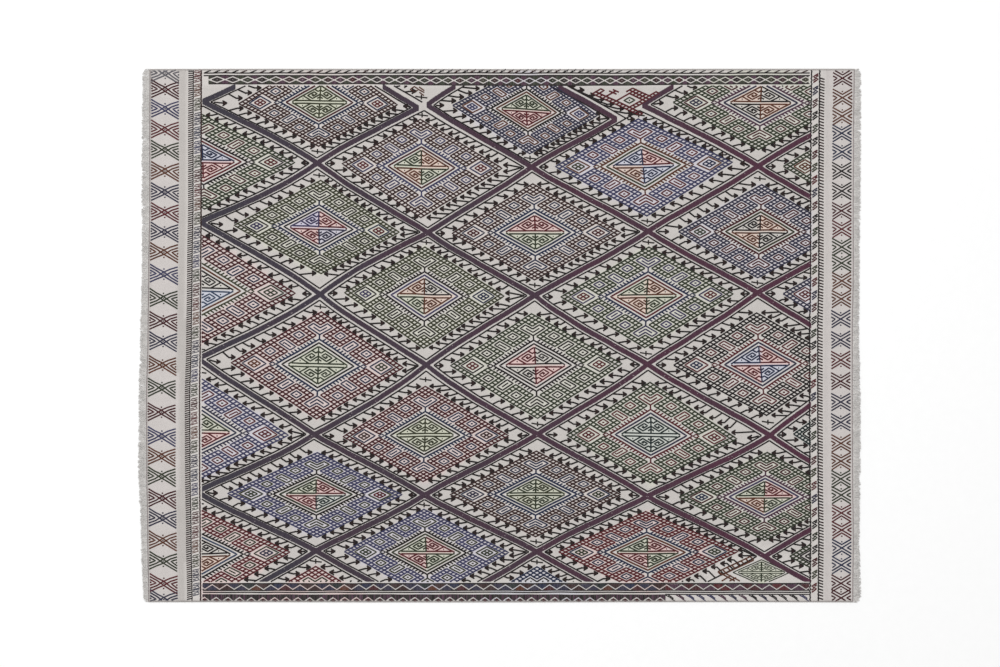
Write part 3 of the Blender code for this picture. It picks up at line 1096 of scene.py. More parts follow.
def medallion_runs():
    runs = []
    for lozenge in WHOLE_LOZENGES:
        thin = LAST_THINNESS if lozenge["bare"] else 1.0
        rim = square(0, 0, MEDALLION_RIM)
        runs += cell_run(lozenge, rim, lozenge["outline"], 1.12 * thin)
        up = [(BAND_HALF, -BAND_HALF), (MEDALLION_LINING, -MEDALLION_LINING)]
        runs += cell_run(lozenge, up, lozenge["upper_left"], 0.95)
        runs += cell_run(lozenge, [(-u, -v) for u, v in up], lozenge["lower_right"], 0.95)
        for quarter, place in QUARTERS:
            dye = lozenge[quarter]
            for line in QUARTER_LINES:
                runs += cell_run(lozenge, [place(u, v) for u, v in line], dye, 0.96 * thin)
            runs += cell_run(lozenge, [place(u, v) for u, v in TRIANGLE_DOT], "black", 0.8)
    return runs


medallions = lay_yarns("medallions", medallion_runs(), 0.0054, 0.0010, line_wool)


def creep_dye():
    """Tints the ivory under each lattice and medallion, and dims it between bar and lattice."""
    layer = ground.data.attributes["dye"].data
    middles = [(lozenge, on_cloth(lozenge, 0, 0)) for lozenge in WHOLE_LOZENGES]
    for point, spot in zip(ground.data.vertices, layer):
        x, y = point.co.x, point.co.y
        if point.co.z < GROUND_TOP / 2 or not FIELD_LEFT < x < FIELD_RIGHT:
            continue
        lozenge, middle = min(middles, key=lambda m: (m[1][0] - x) ** 2 + (m[1][1] - y) ** 2)
        left, top, right, bottom = lozenge["own_corners"]
        across = (x - middle[0]) / ((right[0] - left[0]) / 2) * CORNER
        up = (y - middle[1]) / ((top[1] - bottom[1]) / 2) * CORNER
        ring = abs(across) + abs(up)
        if ring < MEDALLION_LINING + TINT_MARGIN:
            quarter = ("upper_" if up > 0 else "lower_") + ("left" if across < 0 else "right")
            tint = BLEED.get(lozenge[quarter], IVORY)
            spot.color = (*blended(IVORY, tint, QUARTER_TINT), 1.0)
        elif COMB_TIP < ring < INNER + TINT_MARGIN and not lozenge["bare"]:
            tint = BLEED.get(lozenge["lattice"], IVORY)
            spot.color = (*blended(IVORY, tint, LATTICE_TINT), 1.0)
        elif ring > INNER and FIELD_BOTTOM < y < FIELD_TOP:
            spot.color = (*IVORY_ARROWS, 1.0)


creep_dye()


# ---- The upper border ---------------------------------------------------------------------
# Along the upper long edge run slanting feathers over a dark line, and below them a chain of
# small lozenges: two ivory lines that cross again and again on a ground of dark floats.

UNIT = 0.0032
FEATHER_FOOT, FEATHER_HEAD = 0.8362, 0.8480
FEATHER_PITCH, FEATHER_REACH, DOUBLE_PITCH, DOUBLE_REACH = 0.0295, 0.027, 0.0245, 0.021
DOUBLE_FROM, DOUBLE_TO = -0.460, 0.360
CHAIN_MIDDLE, CHAIN_HALF, CHAIN_SWING = 0.8150, 0.0130, 0.0094
CHAIN_PITCH, CHAIN_EXTRA, CHAIN_SETTLES = 0.0366, 0.0150, 0.24
LINE_HALF = 0.0017
CHAIN_HEARTS = ("umber", "brown", "green", "madder", "olive", "black", "purple", "umber")
SPANDREL_HEARTS = ("green", "brown", "umber", "purple", "olive", "brown")


def chain_droop(x):
    """How far the chain sinks towards the middle of the long edge."""
    return 0.0055 * math.sin(math.pi * min(max((x + 0.42) / 1.10, 0.0), 1.0))


def chain_middle(x):
    return wavered(x, CHAIN_MIDDLE - 0.6 * chain_droop(x))[1]


def faded(name, draw):
    """A border wool, rubbed a little paler than the same wool in the field."""
    return blended(DYES[name], DYES["mauve"], draw.uniform(0.02, 0.16))


def chain_columns(low_x, high_x):
    """Each float column of a chain: its x, its link number and its place in the link."""
    x, start, link = low_x, low_x, 0
    while x < high_x:
        length = CHAIN_PITCH + CHAIN_EXTRA * math.exp(-(start - low_x) / CHAIN_SETTLES)
        if x - start >= length:
            start, link = start + length, link + 1
        yield x, link, (x - start) / length
        x += FLOAT_PITCH


def upper_border_runs():
    lines, fills, draw = [], [], random.Random(21)
    x = FIELD_LEFT + 0.008
    while x < FIELD_RIGHT - 0.02:
        dye = DYES[draw.choice(("black", "black", "umber", "brown"))]
        double = DOUBLE_FROM < x < DOUBLE_TO
        reach = DOUBLE_REACH if double else FEATHER_REACH
        high = FEATHER_HEAD + draw.uniform(-0.0008, 0.0002)
        line = [(x, FEATHER_FOOT), (x + 0.4 * reach, FEATHER_FOOT + 0.0045), (x + reach, high)]
        lines.append((stepped(line, 0.008)[:5], 1.0 if x < DOUBLE_TO else 0.85, dye))
        if double:
            line = [(x + 0.3 * reach, FEATHER_FOOT + 0.0070), (x + 0.85 * reach, high - 0.0046)]
            lines.append((line, 0.9, dye))
        x += (DOUBLE_PITCH if double else FEATHER_PITCH) + draw.uniform(-0.002, 0.002)
    for y, girth in ((FEATHER_FOOT, 0.95), (CHAIN_MIDDLE + CHAIN_HALF, 0.9)):
        line = stepped([(FIELD_LEFT + 0.006, y), (FIELD_RIGHT - 0.004, y)], 0.012)
        lines.append(([wavered(*p) for p in line], girth, DYES["black"]))
    foot = CHAIN_MIDDLE - CHAIN_HALF - 0.0004
    line = stepped([(FIELD_LEFT + 0.022, foot), (FIELD_RIGHT - 0.004, foot)], 0.012)
    lines.append(([(x, wavered(x, y - chain_droop(x))[1]) for x, y in line], 0.7,
                  DYES["umber"]))
    for x, link, share in chain_columns(FIELD_LEFT + 0.023, FIELD_RIGHT - 0.006):
        opening = CHAIN_SWING * (1 - abs(2 * share - 1))
        middle = chain_middle(x)
        chain_half = CHAIN_HALF + 0.4 * chain_droop(x)
        wide = opening > 0.62 * CHAIN_SWING
        heart = CHAIN_HEARTS[(link * 5 + link // 7) % len(CHAIN_HEARTS)]
        if opening > LINE_HALF + 0.0012:
            half = opening - LINE_HALF
            fills.append(filled_float(x, middle - half, middle + half,
                                      faded(heart if wide else "umber", draw)))
            if abs(share - 0.5) < 0.5 * FLOAT_PITCH / CHAIN_PITCH:
                fills.append(([(x, middle - 0.0008), (x, middle + 0.0008)], 1.25,
                              DYES["mauve"]))
        corner = share < 0.2 or share > 0.8
        spandrel = SPANDREL_HEARTS[(link + (share > 0.5)) * 3 % len(SPANDREL_HEARTS)]
        dye = faded(spandrel if corner else "umber", draw)
        low = middle + opening + LINE_HALF
        if middle + chain_half - low > 0.001:
            fills.append(filled_float(x, low, middle + chain_half, dye))
            fills.append(filled_float(x, middle - chain_half, 2 * middle - low, dye))
    return lines, fills


border_lines, border_fills = upper_border_runs()
upper_feathers = lay_yarns("upper_feathers", border_lines, 0.0044, 0.0010, line_wool)
upper_chain = lay_yarns("upper_chain", border_fills, FLOAT_WIDTH, 0.0009, float_wool)


# ---- The lower border ---------------------------------------------------------------------
# Along the lower long edge dark floats leave an ivory zigzag free, then come two ivory lines
# and a row of leaves, each a small maroon lozenge under an ivory arch. On the right, pairs of
# slanting strokes on ivory take the leaves' place.

ZIGZAG_TOP, ZIGZAG_BOTTOM = -0.7905, -0.8120
ZIGZAG_MIDDLE, ZIGZAG_SWING, ZIGZAG_PITCH = -0.8012, 0.0075, 0.0467
STRIPE_LINE = -0.8178
LEAF_TOP, LEAF_MIDDLE, LEAF_PITCH = -0.8243, -0.8425, 0.0372
LEAF_HALF_WIDTH, LEAF_HALF_HEIGHT = 0.0118, 0.0062
ZIGZAG_EDGE = -0.7895
STROKES_FROM, STROKES_EDGE, STROKES_TOP, STROKES_PITCH = 0.527, -0.8245, -0.8262, 0.0330
# how far along each stroke of a pair starts, and its share of the first one's length
STROKE_PAIR = ((0.0, 1.0), (0.0085, 0.55))
UPPER_TEETH = ("navy", "brown", "navy", "teal", "brown", "blue")
LOWER_TEETH = ("navy", "brown", "navy", "rust", "navy", "madder")
LATE_TEETH = ("purple", "madder", "purple", "red")


def arch_height(share):
    """The ivory arch over a leaf: a short rise, then a long fall to the next leaf's foot."""
    marks = ((0.0, -0.8420), (0.12, -0.8395), (0.35, -0.8340), (0.85, -0.8478), (1.0, -0.8420))
    for (a, ya), (b, yb) in zip(marks, marks[1:]):
        if share <= b:
            return ya + (yb - ya) * (share - a) / (b - a)
    return marks[-1][1]


def lower_border_runs():
    lines, fills, draw = [], [], random.Random(22)
    columns = int((FIELD_RIGHT - FIELD_LEFT - 0.008) / FLOAT_PITCH)
    for k in range(columns):
        x = FIELD_LEFT + 0.004 + k * FLOAT_PITCH
        _, drift = wavered(x, 0.0)
        turn = (x - FIELD_LEFT - 0.010) / ZIGZAG_PITCH
        share = turn % 1.0
        height = ZIGZAG_MIDDLE + drift + ZIGZAG_SWING * (1 - 4 * abs(share - 0.5))
        late = x > STROKES_FROM
        tooth = int(turn + 0.5)
        upper = faded(LATE_TEETH[tooth % 4] if late else UPPER_TEETH[tooth % 6], draw)
        lower = faded(LATE_TEETH[int(turn) % 4] if late else LOWER_TEETH[int(turn) % 6], draw)
        rim = faded("umber", draw)
        for low, high, dye in ((height + LINE_HALF, ZIGZAG_TOP + drift, upper),
                               (ZIGZAG_BOTTOM + drift, height - LINE_HALF, lower)):
            if high - low > 0.0012:
                fills.append(filled_float(x, low, high,
                                          dye if high - low > 0.0075 else rim))
        if late:
            continue
        share = ((x - FIELD_LEFT + 0.004) / LEAF_PITCH) % 1.0
        arch = arch_height(share) + drift
        fills.append(filled_float(x, arch + LINE_HALF, LEAF_TOP + drift,
                                  faded(draw.choice(("purple", "umber", "black")), draw)))
        near = 1 - abs(share - 0.38) * LEAF_PITCH / LEAF_HALF_WIDTH
        if near > 0.12:
            half = LEAF_HALF_HEIGHT * near
            high = min(LEAF_MIDDLE + drift + half, arch - LINE_HALF)
            low = max(LEAF_MIDDLE + drift - half, -HALF_WIDTH + 0.0018)
            if high - low > 0.001:
                dye = faded("madder" if near > 0.6 else "umber", draw)
                fills.append(filled_float(x, low, high, dye))
    for y, girth in ((ZIGZAG_EDGE, 0.8), (STRIPE_LINE, 1.1), (ZIGZAG_BOTTOM, 0.7)):
        line = stepped([(FIELD_LEFT + 0.004, y), (FIELD_RIGHT - 0.004, y)], 0.012)
        lines.append(([wavered(*p) for p in line], girth, DYES["black"]))
    x = STROKES_FROM
    while x < FIELD_RIGHT - 0.03:
        dye = DYES[draw.choice(("navy", "purple", "indigo", "black"))]
        for shift, reach in STROKE_PAIR:
            line = [(x + shift, STROKES_TOP),
                    (x + shift + 0.014 * reach, STROKES_TOP - 0.0075 * reach),
                    (x + shift + 0.031 * reach, STROKES_TOP - 0.0205 * reach)]
            lines.append((stepped(line, 0.008), 0.95, dye))
        x += STROKES_PITCH + draw.uniform(-0.002, 0.002)
    line = stepped([(STROKES_FROM, STROKES_EDGE), (FIELD_RIGHT - 0.004, STROKES_EDGE)], 0.012)
    lines.append(([wavered(*p) for p in line], 0.9, DYES["black"]))
    return lines, fills


border_lines, border_fills = lower_border_runs()
lower_lines = lay_yarns("lower_border_lines", border_lines, 0.0042, 0.0010, line_wool)
lower_floats = lay_yarns("lower_border_floats", border_fills, FLOAT_WIDTH, 0.0009, float_wool)


# ---- The left end -------------------------------------------------------------------------
# Between the field and the left hem stand a column of small paired hooks between two upright
# lines, a column of slanting stitches, a plain band, and a row of crosses by the hem.

LEFT_CORNER_X, LEFT_CROSS_X = -1.1199, -1.0705
# each cross's height in millimetres, and its wool
LEFT_CROSSES = (
    (836, "grey"), (785, "madder"), (722, "indigo"), (656, "red"), (591, "green"),
    (524, "rust"), (457, "navy"), (393, "red"), (330, "navy"), (266, "orange"),
    (196, "indigo"), (119, "green"), (46, "madder"), (-18, "navy"), (-94, "orange"),
    (-167, "green"), (-244, "madder"), (-320, "indigo"), (-384, "orange"), (-448, "green"),
    (-518, "madder"), (-581, "navy"), (-652, "orange"), (-718, "green"), (-789, "red"),
    (-840, "navy"),
)
# one cross in UNITs round its middle; its right side hangs a little lower than its left
LEFT_CROSS_LINES = (
    [(-13.8, 9.6), (-6.8, 5.2), (0.0, 2.1), (6.0, 4.8), (13.8, 7.2)],
    [(-13.8, -8.2), (-6.8, -4.9), (0.0, -2.1), (6.5, -6.0), (13.8, -10.4)],
    [(-13.8, 6.6), (-7.0, 2.9), (0.0, -2.1)],
    [(-13.8, -5.0), (-7.0, -2.4), (0.0, 2.1)],
    [(13.8, 4.2), (7.0, 2.0), (0.0, -2.1)],
    [(13.8, -7.6), (7.0, -3.4), (0.0, 2.1)],
    [(-13.8, 3.7), (-7.6, 0.2), (-13.8, -2.0)],
    [(13.8, 1.4), (7.6, -0.3), (13.8, -4.9)],
    [(0.0, 5.7), (0.0, 4.3)], [(0.0, -5.8), (0.0, -4.5)], [(0.0, 0.5), (0.0, -0.5)],
    [(-13.8, 1.3), (-12.5, 0.4)], [(13.8, -1.2), (12.5, -2.1)],
)
HOOK_X, HOOK_PITCH, PAIR_CLOSER, HOOK_UNIT = -0.9672, 0.0261, 1.35, 0.0034
HOOK_DYES = ("red", "navy", "green", "rust", "blue", "madder", "olive", "indigo")
HOOK_LINES = (
    [(3.1, 3.3), (-2.1, 2.2), (-2.9, 0.8), (2.1, 0.2), (2.9, -1.4), (-3.1, -3.0)],
    [(2.9, 1.6), (0.3, 1.2)], [(-2.9, -1.4), (-0.3, -1.0)],
)
STITCH_X, STITCH_PITCH, STITCH_SLANT = -0.9870, 0.0069, 0.0022
OUTER_UPRIGHT_X, INNER_UPRIGHT_X = -0.9807, -0.9535


def figure_at(lines, x, y, size, dye, girth=0.9):
    """The lines of a small figure, in UNITs round (x, y), as runs cut at the long edges."""
    runs, rim = [], HALF_WIDTH - 0.003
    for line in lines:
        placed = [wavered(x + a * size, y + b * size) for a, b in stepped(line, 2.2)]
        kept = [p for p in placed if abs(p[1]) < rim]
        if len(kept) > 1:
            runs.append((kept, girth, dye))
    return runs


def upright(x_at, low, high, sway, dye, girth, seed):
    """A wavy line up the cloth."""
    count = int((high - low) / 0.0055)
    line = []
    for k in range(count + 1):
        y = low + (high - low) * k / count
        line.append((x_at(y) + sway * math.sin(y * 640 + seed), y))
    return (line, girth, dye)


def left_end_runs():
    runs, draw = [], random.Random(31)

    def drift(y):
        return end_value(LEFT_HEM, y) - LEFT_CORNER_X

    for y_mm, dye in LEFT_CROSSES:
        y = y_mm / 1000
        runs += figure_at(LEFT_CROSS_LINES, LEFT_CROSS_X + drift(y), y, UNIT, DYES[dye])
    y, k = HALF_WIDTH - 0.014, 0
    while y > -HALF_WIDTH + 0.012:
        dye = blended(DYES[HOOK_DYES[(k // 2) * 3 % len(HOOK_DYES)]], IVORY, 0.10)
        runs += figure_at(HOOK_LINES, HOOK_X + drift(y), y, HOOK_UNIT, dye, 0.62)
        y, k = y - HOOK_PITCH / (1.0 if k % 2 else PAIR_CLOSER), k + 1
    y = HALF_WIDTH - 0.008
    while y > -HALF_WIDTH + 0.008:
        x = STITCH_X + drift(y)
        slant = STITCH_SLANT * min(1.0, (HALF_WIDTH - y) / 0.08)
        dye = blended(DYES["black"], DYES["brown"], draw.random())
        line = [(x - 0.0098, y - slant), (x + 0.0074, y + slant)]
        runs.append((stepped(line, 0.006), 0.72, dye))
        y -= STITCH_PITCH * draw.uniform(0.92, 1.08)
    rim = HALF_WIDTH - 0.004
    runs.append(upright(lambda y: OUTER_UPRIGHT_X + drift(y), -rim, rim, 0.0008,
                        DYES["black"], 0.6, 1))
    runs.append(upright(lambda y: INNER_UPRIGHT_X + 0.5 * drift(y), -rim, rim, 0.0007,
                        DYES["brown"], 0.85, 2))
    return runs


left_end = lay_yarns("left_end_figures", left_end_runs(), 0.0056, 0.0010, line_wool)


# ---- The right end ------------------------------------------------------------------------
# The right end answers the left one: stepped hooks between two uprights, slanting stitches,
# a plain band, and true crosses with chevrons above, below and at their sides.

RIGHT_HEM_MIDDLE, RIGHT_CROSS_X = 1.1260, 1.0880
RIGHT_CROSSES = (
    (820, "madder"), (757, "orange"), (699, "rust"), (645, "blue"), (585, "blue"),
    (524, "black"), (460, "black"), (397, "madder"), (339, "red"), (282, "green"),
    (231, "green"), (174, "orange"), (116, "rust"), (53, "navy"), (-14, "navy"),
    (-78, "red"), (-145, "madder"), (-212, "navy"), (-276, "navy"), (-343, "orange"),
    (-400, "rust"), (-457, "green"), (-508, "green"), (-566, "red"), (-620, "red"),
    (-677, "blue"), (-731, "blue"), (-789, "madder"), (-836, "madder"),
)
RIGHT_CROSS_LINES = (
    [(-9.6, 8.6), (0.0, 3.3), (9.4, 8.8)],
    [(-9.6, 5.6), (9.6, -5.6)], [(-9.2, -5.6), (9.6, 5.9)],
    [(-9.2, -8.6), (0.0, -2.9), (9.4, -8.5)],
    [(-9.6, 2.2), (-5.4, 0.0), (-9.0, -2.5)],
    [(9.6, 2.4), (5.4, 0.1), (9.6, -1.8)],
    [(0.0, 6.8), (0.0, 5.5)], [(0.0, -5.5), (0.0, -6.8)],
)
STEP_HOOK_X, STEP_HOOK_PITCH = 1.0020, 0.0405
FALLING_STITCH_X, FALLING_STITCH_PITCH, FALLING_STITCH_HALF = 1.0235, 0.0094, 0.0070
FIELD_UPRIGHT_X, BAND_UPRIGHT_X = 0.9890, 1.0150
STEP_HOOK_LINES = (
    [(2.6, 4.4), (-2.4, 1.4), (2.3, -1.2), (-2.4, -4.6)],
    [(2.7, 2.6), (0.4, 1.3)], [(-2.6, -2.4), (-0.3, -1.0)],
)
STEP_HOOK_DYES = ("red", "navy", "madder", "black", "green", "black", "madder", "olive")


def right_end_runs():
    runs, draw = [], random.Random(41)

    def drift(y):
        return end_value(RIGHT_HEM, y) - RIGHT_HEM_MIDDLE

    for y_mm, dye in RIGHT_CROSSES:
        y = y_mm / 1000
        runs += figure_at(RIGHT_CROSS_LINES, RIGHT_CROSS_X + drift(y), y, UNIT, DYES[dye])
    y, k = HALF_WIDTH - 0.030, 0
    while y > -HALF_WIDTH + 0.016:
        dye = DYES[STEP_HOOK_DYES[k % len(STEP_HOOK_DYES)]]
        runs += figure_at(STEP_HOOK_LINES, STEP_HOOK_X + drift(y), y, UNIT, dye)
        y, k = y - STEP_HOOK_PITCH * draw.uniform(0.95, 1.05), k + 1
    y = HALF_WIDTH - 0.032
    while y > -HALF_WIDTH + 0.008:
        x = FALLING_STITCH_X + drift(y)
        dye = blended(DYES["black"], DYES["brown"], draw.random())
        line = [(x - FALLING_STITCH_HALF, y + STITCH_SLANT),
                (x + FALLING_STITCH_HALF, y - STITCH_SLANT)]
        runs.append((stepped(line, 0.006), 0.85, dye))
        y -= FALLING_STITCH_PITCH * draw.uniform(0.92, 1.08)
    rim = HALF_WIDTH - 0.004
    for x, sway, seed in ((FIELD_UPRIGHT_X, 0.0016, 3), (BAND_UPRIGHT_X, 0.0010, 4)):
        runs.append(upright(lambda y, x=x: x + drift(y), -rim, rim, sway,
                            DYES["black"], 0.85, seed))
    return runs


right_end = lay_yarns("right_end_figures", right_end_runs(), 0.0054, 0.0010, line_wool)


# ---- The edges ----------------------------------------------------------------------------
# The long edges are bound by two ivory cords of ground wool laid side by side, and each hem
# by a twined pair of thin mauve-brown yarns that keeps the weft from slipping.

SELVEDGE_CORD_WIDTH, TWINE_WIDTH, TWINE_TURN, TWINE_SWING = 0.0026, 0.0019, 0.0076, 0.0007
TWINE_HALF_LENGTH = HALF_WIDTH - 0.0025
# how far each cord of a pair lies inside the long edge, and its ivory
SELVEDGE_PAIR = ((0.0015, dyed(180, 175, 172)), (0.0040, dyed(190, 185, 182)))


def selvedge_runs():
    runs = []
    for side in (-1, 1):
        for inset, dye in SELVEDGE_PAIR:
            left = end_value(LEFT_HEM, side * HALF_WIDTH) + 0.001
            right = end_value(RIGHT_HEM, side * HALF_WIDTH) - 0.001
            line = stepped([(left, 0.0), (right, 0.0)], 0.010)
            runs.append(([(x, selvedge_y(x, side) - side * inset) for x, _ in line], 1.0, dye))
    return runs


def twine_runs():
    runs = []
    count = int(2 * TWINE_HALF_LENGTH / TWINE_TURN * 6)
    for column, inset in ((LEFT_HEM, 0.0010), (RIGHT_HEM, -0.0010)):
        for phase, dye in ((0.0, DYES["mauve"]), (math.pi, dyed(136, 124, 122))):
            line = []
            for k in range(count + 1):
                y = (2 * k / count - 1) * TWINE_HALF_LENGTH
                x = end_value(column, y) + inset
                line.append((x + TWINE_SWING * math.sin(phase + k * math.pi / 3), y))
            runs.append((line, 1.0, dye))
    return runs


edge_wool = wool_material("edge cord wool", 45.0, 0.35, 0.8, 0.08)[0]
selvedges = lay_yarns("selvedge_cords", selvedge_runs(), SELVEDGE_CORD_WIDTH, 0.0008, edge_wool)
hem_twines = lay_yarns("hem_twines", twine_runs(), TWINE_WIDTH, 0.0008, edge_wool)


# ---- The fringes --------------------------------------------------------------------------
# The warp ends stand out past each hem, cut short. They have frayed into a soft grey-ivory
# fleece of fine locks that lie on the floor, each bent its own way.

LOCKS_AN_END, LOCK_POINTS, LOCK_GIRTH = 2500, 6, 0.0013
ROOT_SPANS, ROOT_HEIGHT = 170, 0.0012


def lock_tree():
    """Bent, tapering locks that root along a line and lie outward from it."""
    tree, start, end = empty_group(
        "frayed locks", "GeometryNodeTree",
        (("Hem", "NodeSocketGeometry"), ("Count", "NodeSocketInt"),
         ("Outward", "NodeSocketFloat"), ("Girth", "NodeSocketFloat"),
         ("Wool", "NodeSocketMaterial")),
        (("Locks", "NodeSocketGeometry"),))
    add, link = tree.nodes.new, tree.links.new

    def drawn(low, high, seed):
        """A random value between low and high for each lock."""
        made = add("FunctionNodeRandomValue")
        made.data_type = "FLOAT"
        named = {s.name: s for s in made.inputs if s.enabled}
        named["Min"].default_value, named["Max"].default_value = low, high
        named["Seed"].default_value = seed
        return next(s for s in made.outputs if s.enabled)

    line = add("GeometryNodeMeshToCurve")
    spread = add("GeometryNodeResampleCurve")
    spread.mode = "COUNT"
    link(start.outputs["Hem"], line.inputs["Mesh"])
    link(line.outputs["Curve"], spread.inputs["Curve"])
    link(start.outputs["Count"], spread.inputs["Count"])
    lock = add("GeometryNodeCurvePrimitiveLine")
    lock.inputs["End"].default_value = (1.0, 0.0, 0.0)
    bends = add("GeometryNodeResampleCurve")
    bends.mode = "COUNT"
    bends.inputs["Count"].default_value = LOCK_POINTS
    link(lock.outputs["Curve"], bends.inputs["Curve"])
    reach = add("GeometryNodeInputNamedAttribute")
    reach.data_type = "FLOAT"
    reach.inputs["Name"].default_value = "reach"
    length = math_node(tree, "MULTIPLY", reach.outputs["Attribute"], drawn(0.80, 1.0, 1))
    size = add("ShaderNodeCombineXYZ")
    link(math_node(tree, "MULTIPLY", length, start.outputs["Outward"]), size.inputs["X"])
    size.inputs["Y"].default_value = 1.0
    size.inputs["Z"].default_value = 1.0
    turn = add("ShaderNodeCombineXYZ")
    link(drawn(-0.30, 0.30, 2), turn.inputs["Z"])
    planted = add("GeometryNodeInstanceOnPoints")
    link(spread.outputs["Curve"], planted.inputs["Points"])
    link(bends.outputs["Curve"], planted.inputs["Instance"])
    link(turn.outputs["Vector"], planted.inputs["Rotation"])
    link(size.outputs["Vector"], planted.inputs["Scale"])
    lifted = add("GeometryNodeTranslateInstances")
    lifted.inputs["Local Space"].default_value = False
    rise = add("ShaderNodeCombineXYZ")
    link(drawn(0.0, 0.0011, 3), rise.inputs["Z"])
    link(planted.outputs["Instances"], lifted.inputs["Instances"])
    link(rise.outputs["Vector"], lifted.inputs["Translation"])
    real = add("GeometryNodeRealizeInstances")
    link(lifted.outputs["Instances"], real.inputs["Geometry"])
    along = add("GeometryNodeSplineParameter")
    waves = add("ShaderNodeTexNoise")
    waves.inputs["Scale"].default_value = 130.0
    waves.inputs["Detail"].default_value = 1.0
    centred = add("ShaderNodeVectorMath")
    centred.operation = "SUBTRACT"
    centred.inputs[1].default_value = (0.5, 0.5, 0.5)
    link(waves.outputs["Color"], centred.inputs[0])
    grows = add("ShaderNodeVectorMath")
    grows.operation = "MULTIPLY"
    link(centred.outputs["Vector"], grows.inputs[0])
    swing = add("ShaderNodeCombineXYZ")
    amount = math_node(tree, "MULTIPLY", along.outputs["Factor"], 0.007)
    link(amount, swing.inputs["X"])
    link(amount, swing.inputs["Y"])
    link(swing.outputs["Vector"], grows.inputs[1])
    bent = add("GeometryNodeSetPosition")
    link(real.outputs["Geometry"], bent.inputs["Geometry"])
    link(grows.outputs["Vector"], bent.inputs["Offset"])
    section = add("GeometryNodeCurvePrimitiveCircle")
    section.inputs["Resolution"].default_value = 3
    link(start.outputs["Girth"], section.inputs["Radius"])
    taper = math_node(tree, "MULTIPLY", along.outputs["Factor"], 0.45)
    thin = math_node(tree, "SUBTRACT", 1.05, taper)
    sweep = add("GeometryNodeCurveToMesh")
    sweep.inputs["Fill Caps"].default_value = True
    link(bent.outputs["Geometry"], sweep.inputs["Curve"])
    link(section.outputs["Curve"], sweep.inputs["Profile Curve"])
    link(thin, sweep.inputs["Scale"])
    smooth = add("GeometryNodeSetShadeSmooth")
    last = add("GeometryNodeRealizeInstances")
    finish = add("GeometryNodeSetMaterial")
    link(sweep.outputs["Mesh"], smooth.inputs["Geometry"])
    link(smooth.outputs["Geometry"], last.inputs["Geometry"])
    link(last.outputs["Geometry"], finish.inputs["Geometry"])
    link(start.outputs["Wool"], finish.inputs["Material"])
    link(finish.outputs["Geometry"], end.inputs["Locks"])
    return tree


LOCK_TREE = lock_tree()
FLEECE_LIGHT, FLEECE_DARK = dyed(217, 214, 211), dyed(201, 198, 195)


def fringe(name, hem_column, reach_column, outward, seed):
    """One fringe, rooted along its hem."""
    points, reaches, colours, count = [], [], [], ROOT_SPANS
    draw = random.Random(seed)
    for k in range(count + 1):
        y = (2 * k / count - 1) * (HALF_WIDTH - 0.0020)
        x = end_value(hem_column, y) - outward * 0.0015
        points.append((x, y, ROOT_HEIGHT))
        rounding = min(1.0, 0.55 + (HALF_WIDTH - abs(y)) / 0.040)
        notch = 0.86 if draw.random() < 0.06 else 1.0
        reaches.append(end_value(reach_column, y) * rounding * notch * draw.uniform(0.96, 1.03))
        colours.append(blended(FLEECE_DARK, FLEECE_LIGHT, draw.random()))
    edges = [(k, k + 1) for k in range(count)]
    piece = bare_lines(name, points, edges, colours, "reach", reaches)
    grown(piece, LOCK_TREE, {"Count": LOCKS_AN_END, "Outward": outward, "Girth": LOCK_GIRTH,
                             "Wool": fleece})
    bake_map(piece.data, cad_low, cad_high)
    return piece


fleece = wool_material("frayed fleece", 90.0, 0.35, 0.7, 0.12)[0]
left_fringe = fringe("left_fleece", LEFT_HEM, LEFT_REACH, -1.0, 61)
right_fringe = fringe("right_fleece", RIGHT_HEM, RIGHT_REACH, 1.0, 62)


# ---- The rug's body -----------------------------------------------------------------------
# Every piece is attached to the rug's one body, and the CAD cloth and fringes are hidden.
# The figures are dyed brocading wool; the ground, the cords and twines at its edges and the
# fringes are the undyed wool of the warp.

brocade = [bars, arrow_bands, lattices, figures, combs, medallions, upper_feathers,
           upper_chain, lower_lines, lower_floats, left_end, right_end]
for piece in brocade:
    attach(piece, "root")
for piece in (ground, selvedges, hem_twines, left_fringe, right_fringe):
    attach(piece, "root")
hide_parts("rug_cloth")
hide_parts("fringe_left")
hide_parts("fringe_right")


# ---- The floor, the light and the camera --------------------------------------------------
# A white paper floor under a wide soft lamp in an evenly lit room, seen from straight above
# through a frame VIEW_WIDTH wide.

CAMERA_HEIGHT, VIEW_WIDTH, VIEW_RISE, SENSOR_WIDTH = 9.0, 3.186, 0.0066, 36.0
FLOOR_HALF, FLOOR_Z = 9, -0.0002


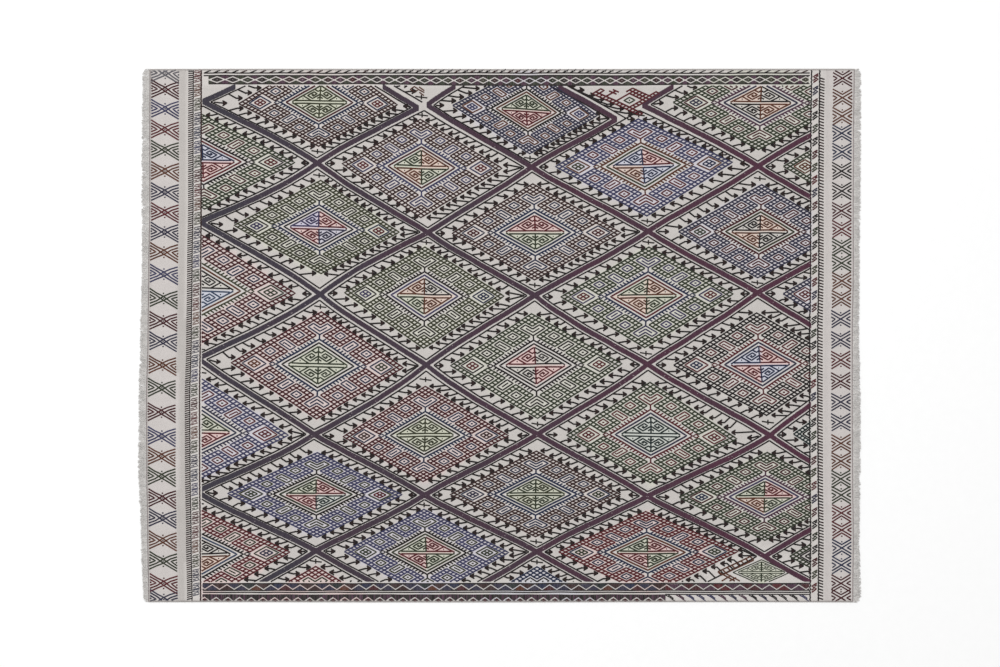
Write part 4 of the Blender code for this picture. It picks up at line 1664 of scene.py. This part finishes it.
def paper_material():
    material = bpy.data.materials.new("white paper floor")
    material.use_nodes = True
    tree = material.node_tree
    shader = tree.nodes["Principled BSDF"]
    shader.inputs["Roughness"].default_value = 0.95
    shader.inputs["Specular IOR Level"].default_value = 0.1
    grain = node(tree, "ShaderNodeTexNoise", Scale=35.0, Detail=2.0)
    ramp = tree.nodes.new("ShaderNodeValToRGB")
    ramp.color_ramp.elements[0].color = (0.955, 0.955, 0.955, 1)
    ramp.color_ramp.elements[1].color = (0.985, 0.985, 0.985, 1)
    place = tree.nodes.new("ShaderNodeTexCoord")
    tree.links.new(place.outputs["Object"], grain.inputs["Vector"])
    tree.links.new(grain.outputs["Fac"], ramp.inputs["Fac"])
    tree.links.new(ramp.outputs["Color"], shader.inputs["Base Color"])
    return material


floor_corners = [(x * FLOOR_HALF, y * FLOOR_HALF, FLOOR_Z)
                 for x, y in ((-1, -1), (1, -1), (1, 1), (-1, 1))]
floor = plain_mesh_object("paper_floor", floor_corners, [(0, 1, 2, 3)])
floor.data.materials.append(paper_material())

world = bpy.data.worlds.new("soft room")
bpy.context.scene.world = world
world.use_nodes = True
world.node_tree.nodes["Background"].inputs["Color"].default_value = (1.0, 1.0, 1.0, 1.0)
world.node_tree.nodes["Background"].inputs["Strength"].default_value = 0.78

lamp_data = bpy.data.lights.new("wide soft lamp", "AREA")
lamp_data.shape = "SQUARE"
lamp_data.size = 4.0
lamp_data.energy = 150.0
lamp = bpy.data.objects.new("wide soft lamp", lamp_data)
lamp.location = (-1.4, 2.0, 6.0)
lamp.rotation_euler = (-lamp.location).to_track_quat("-Z", "Y").to_euler()
bpy.context.scene.collection.objects.link(lamp)

camera_data = bpy.data.cameras.new("camera")
camera_data.sensor_width = SENSOR_WIDTH
camera_data.lens = SENSOR_WIDTH * CAMERA_HEIGHT / VIEW_WIDTH
camera = bpy.data.objects.new("camera", camera_data)
camera.location = (0.0, VIEW_RISE, CAMERA_HEIGHT)
bpy.context.scene.collection.objects.link(camera)
bpy.context.scene.camera = camera
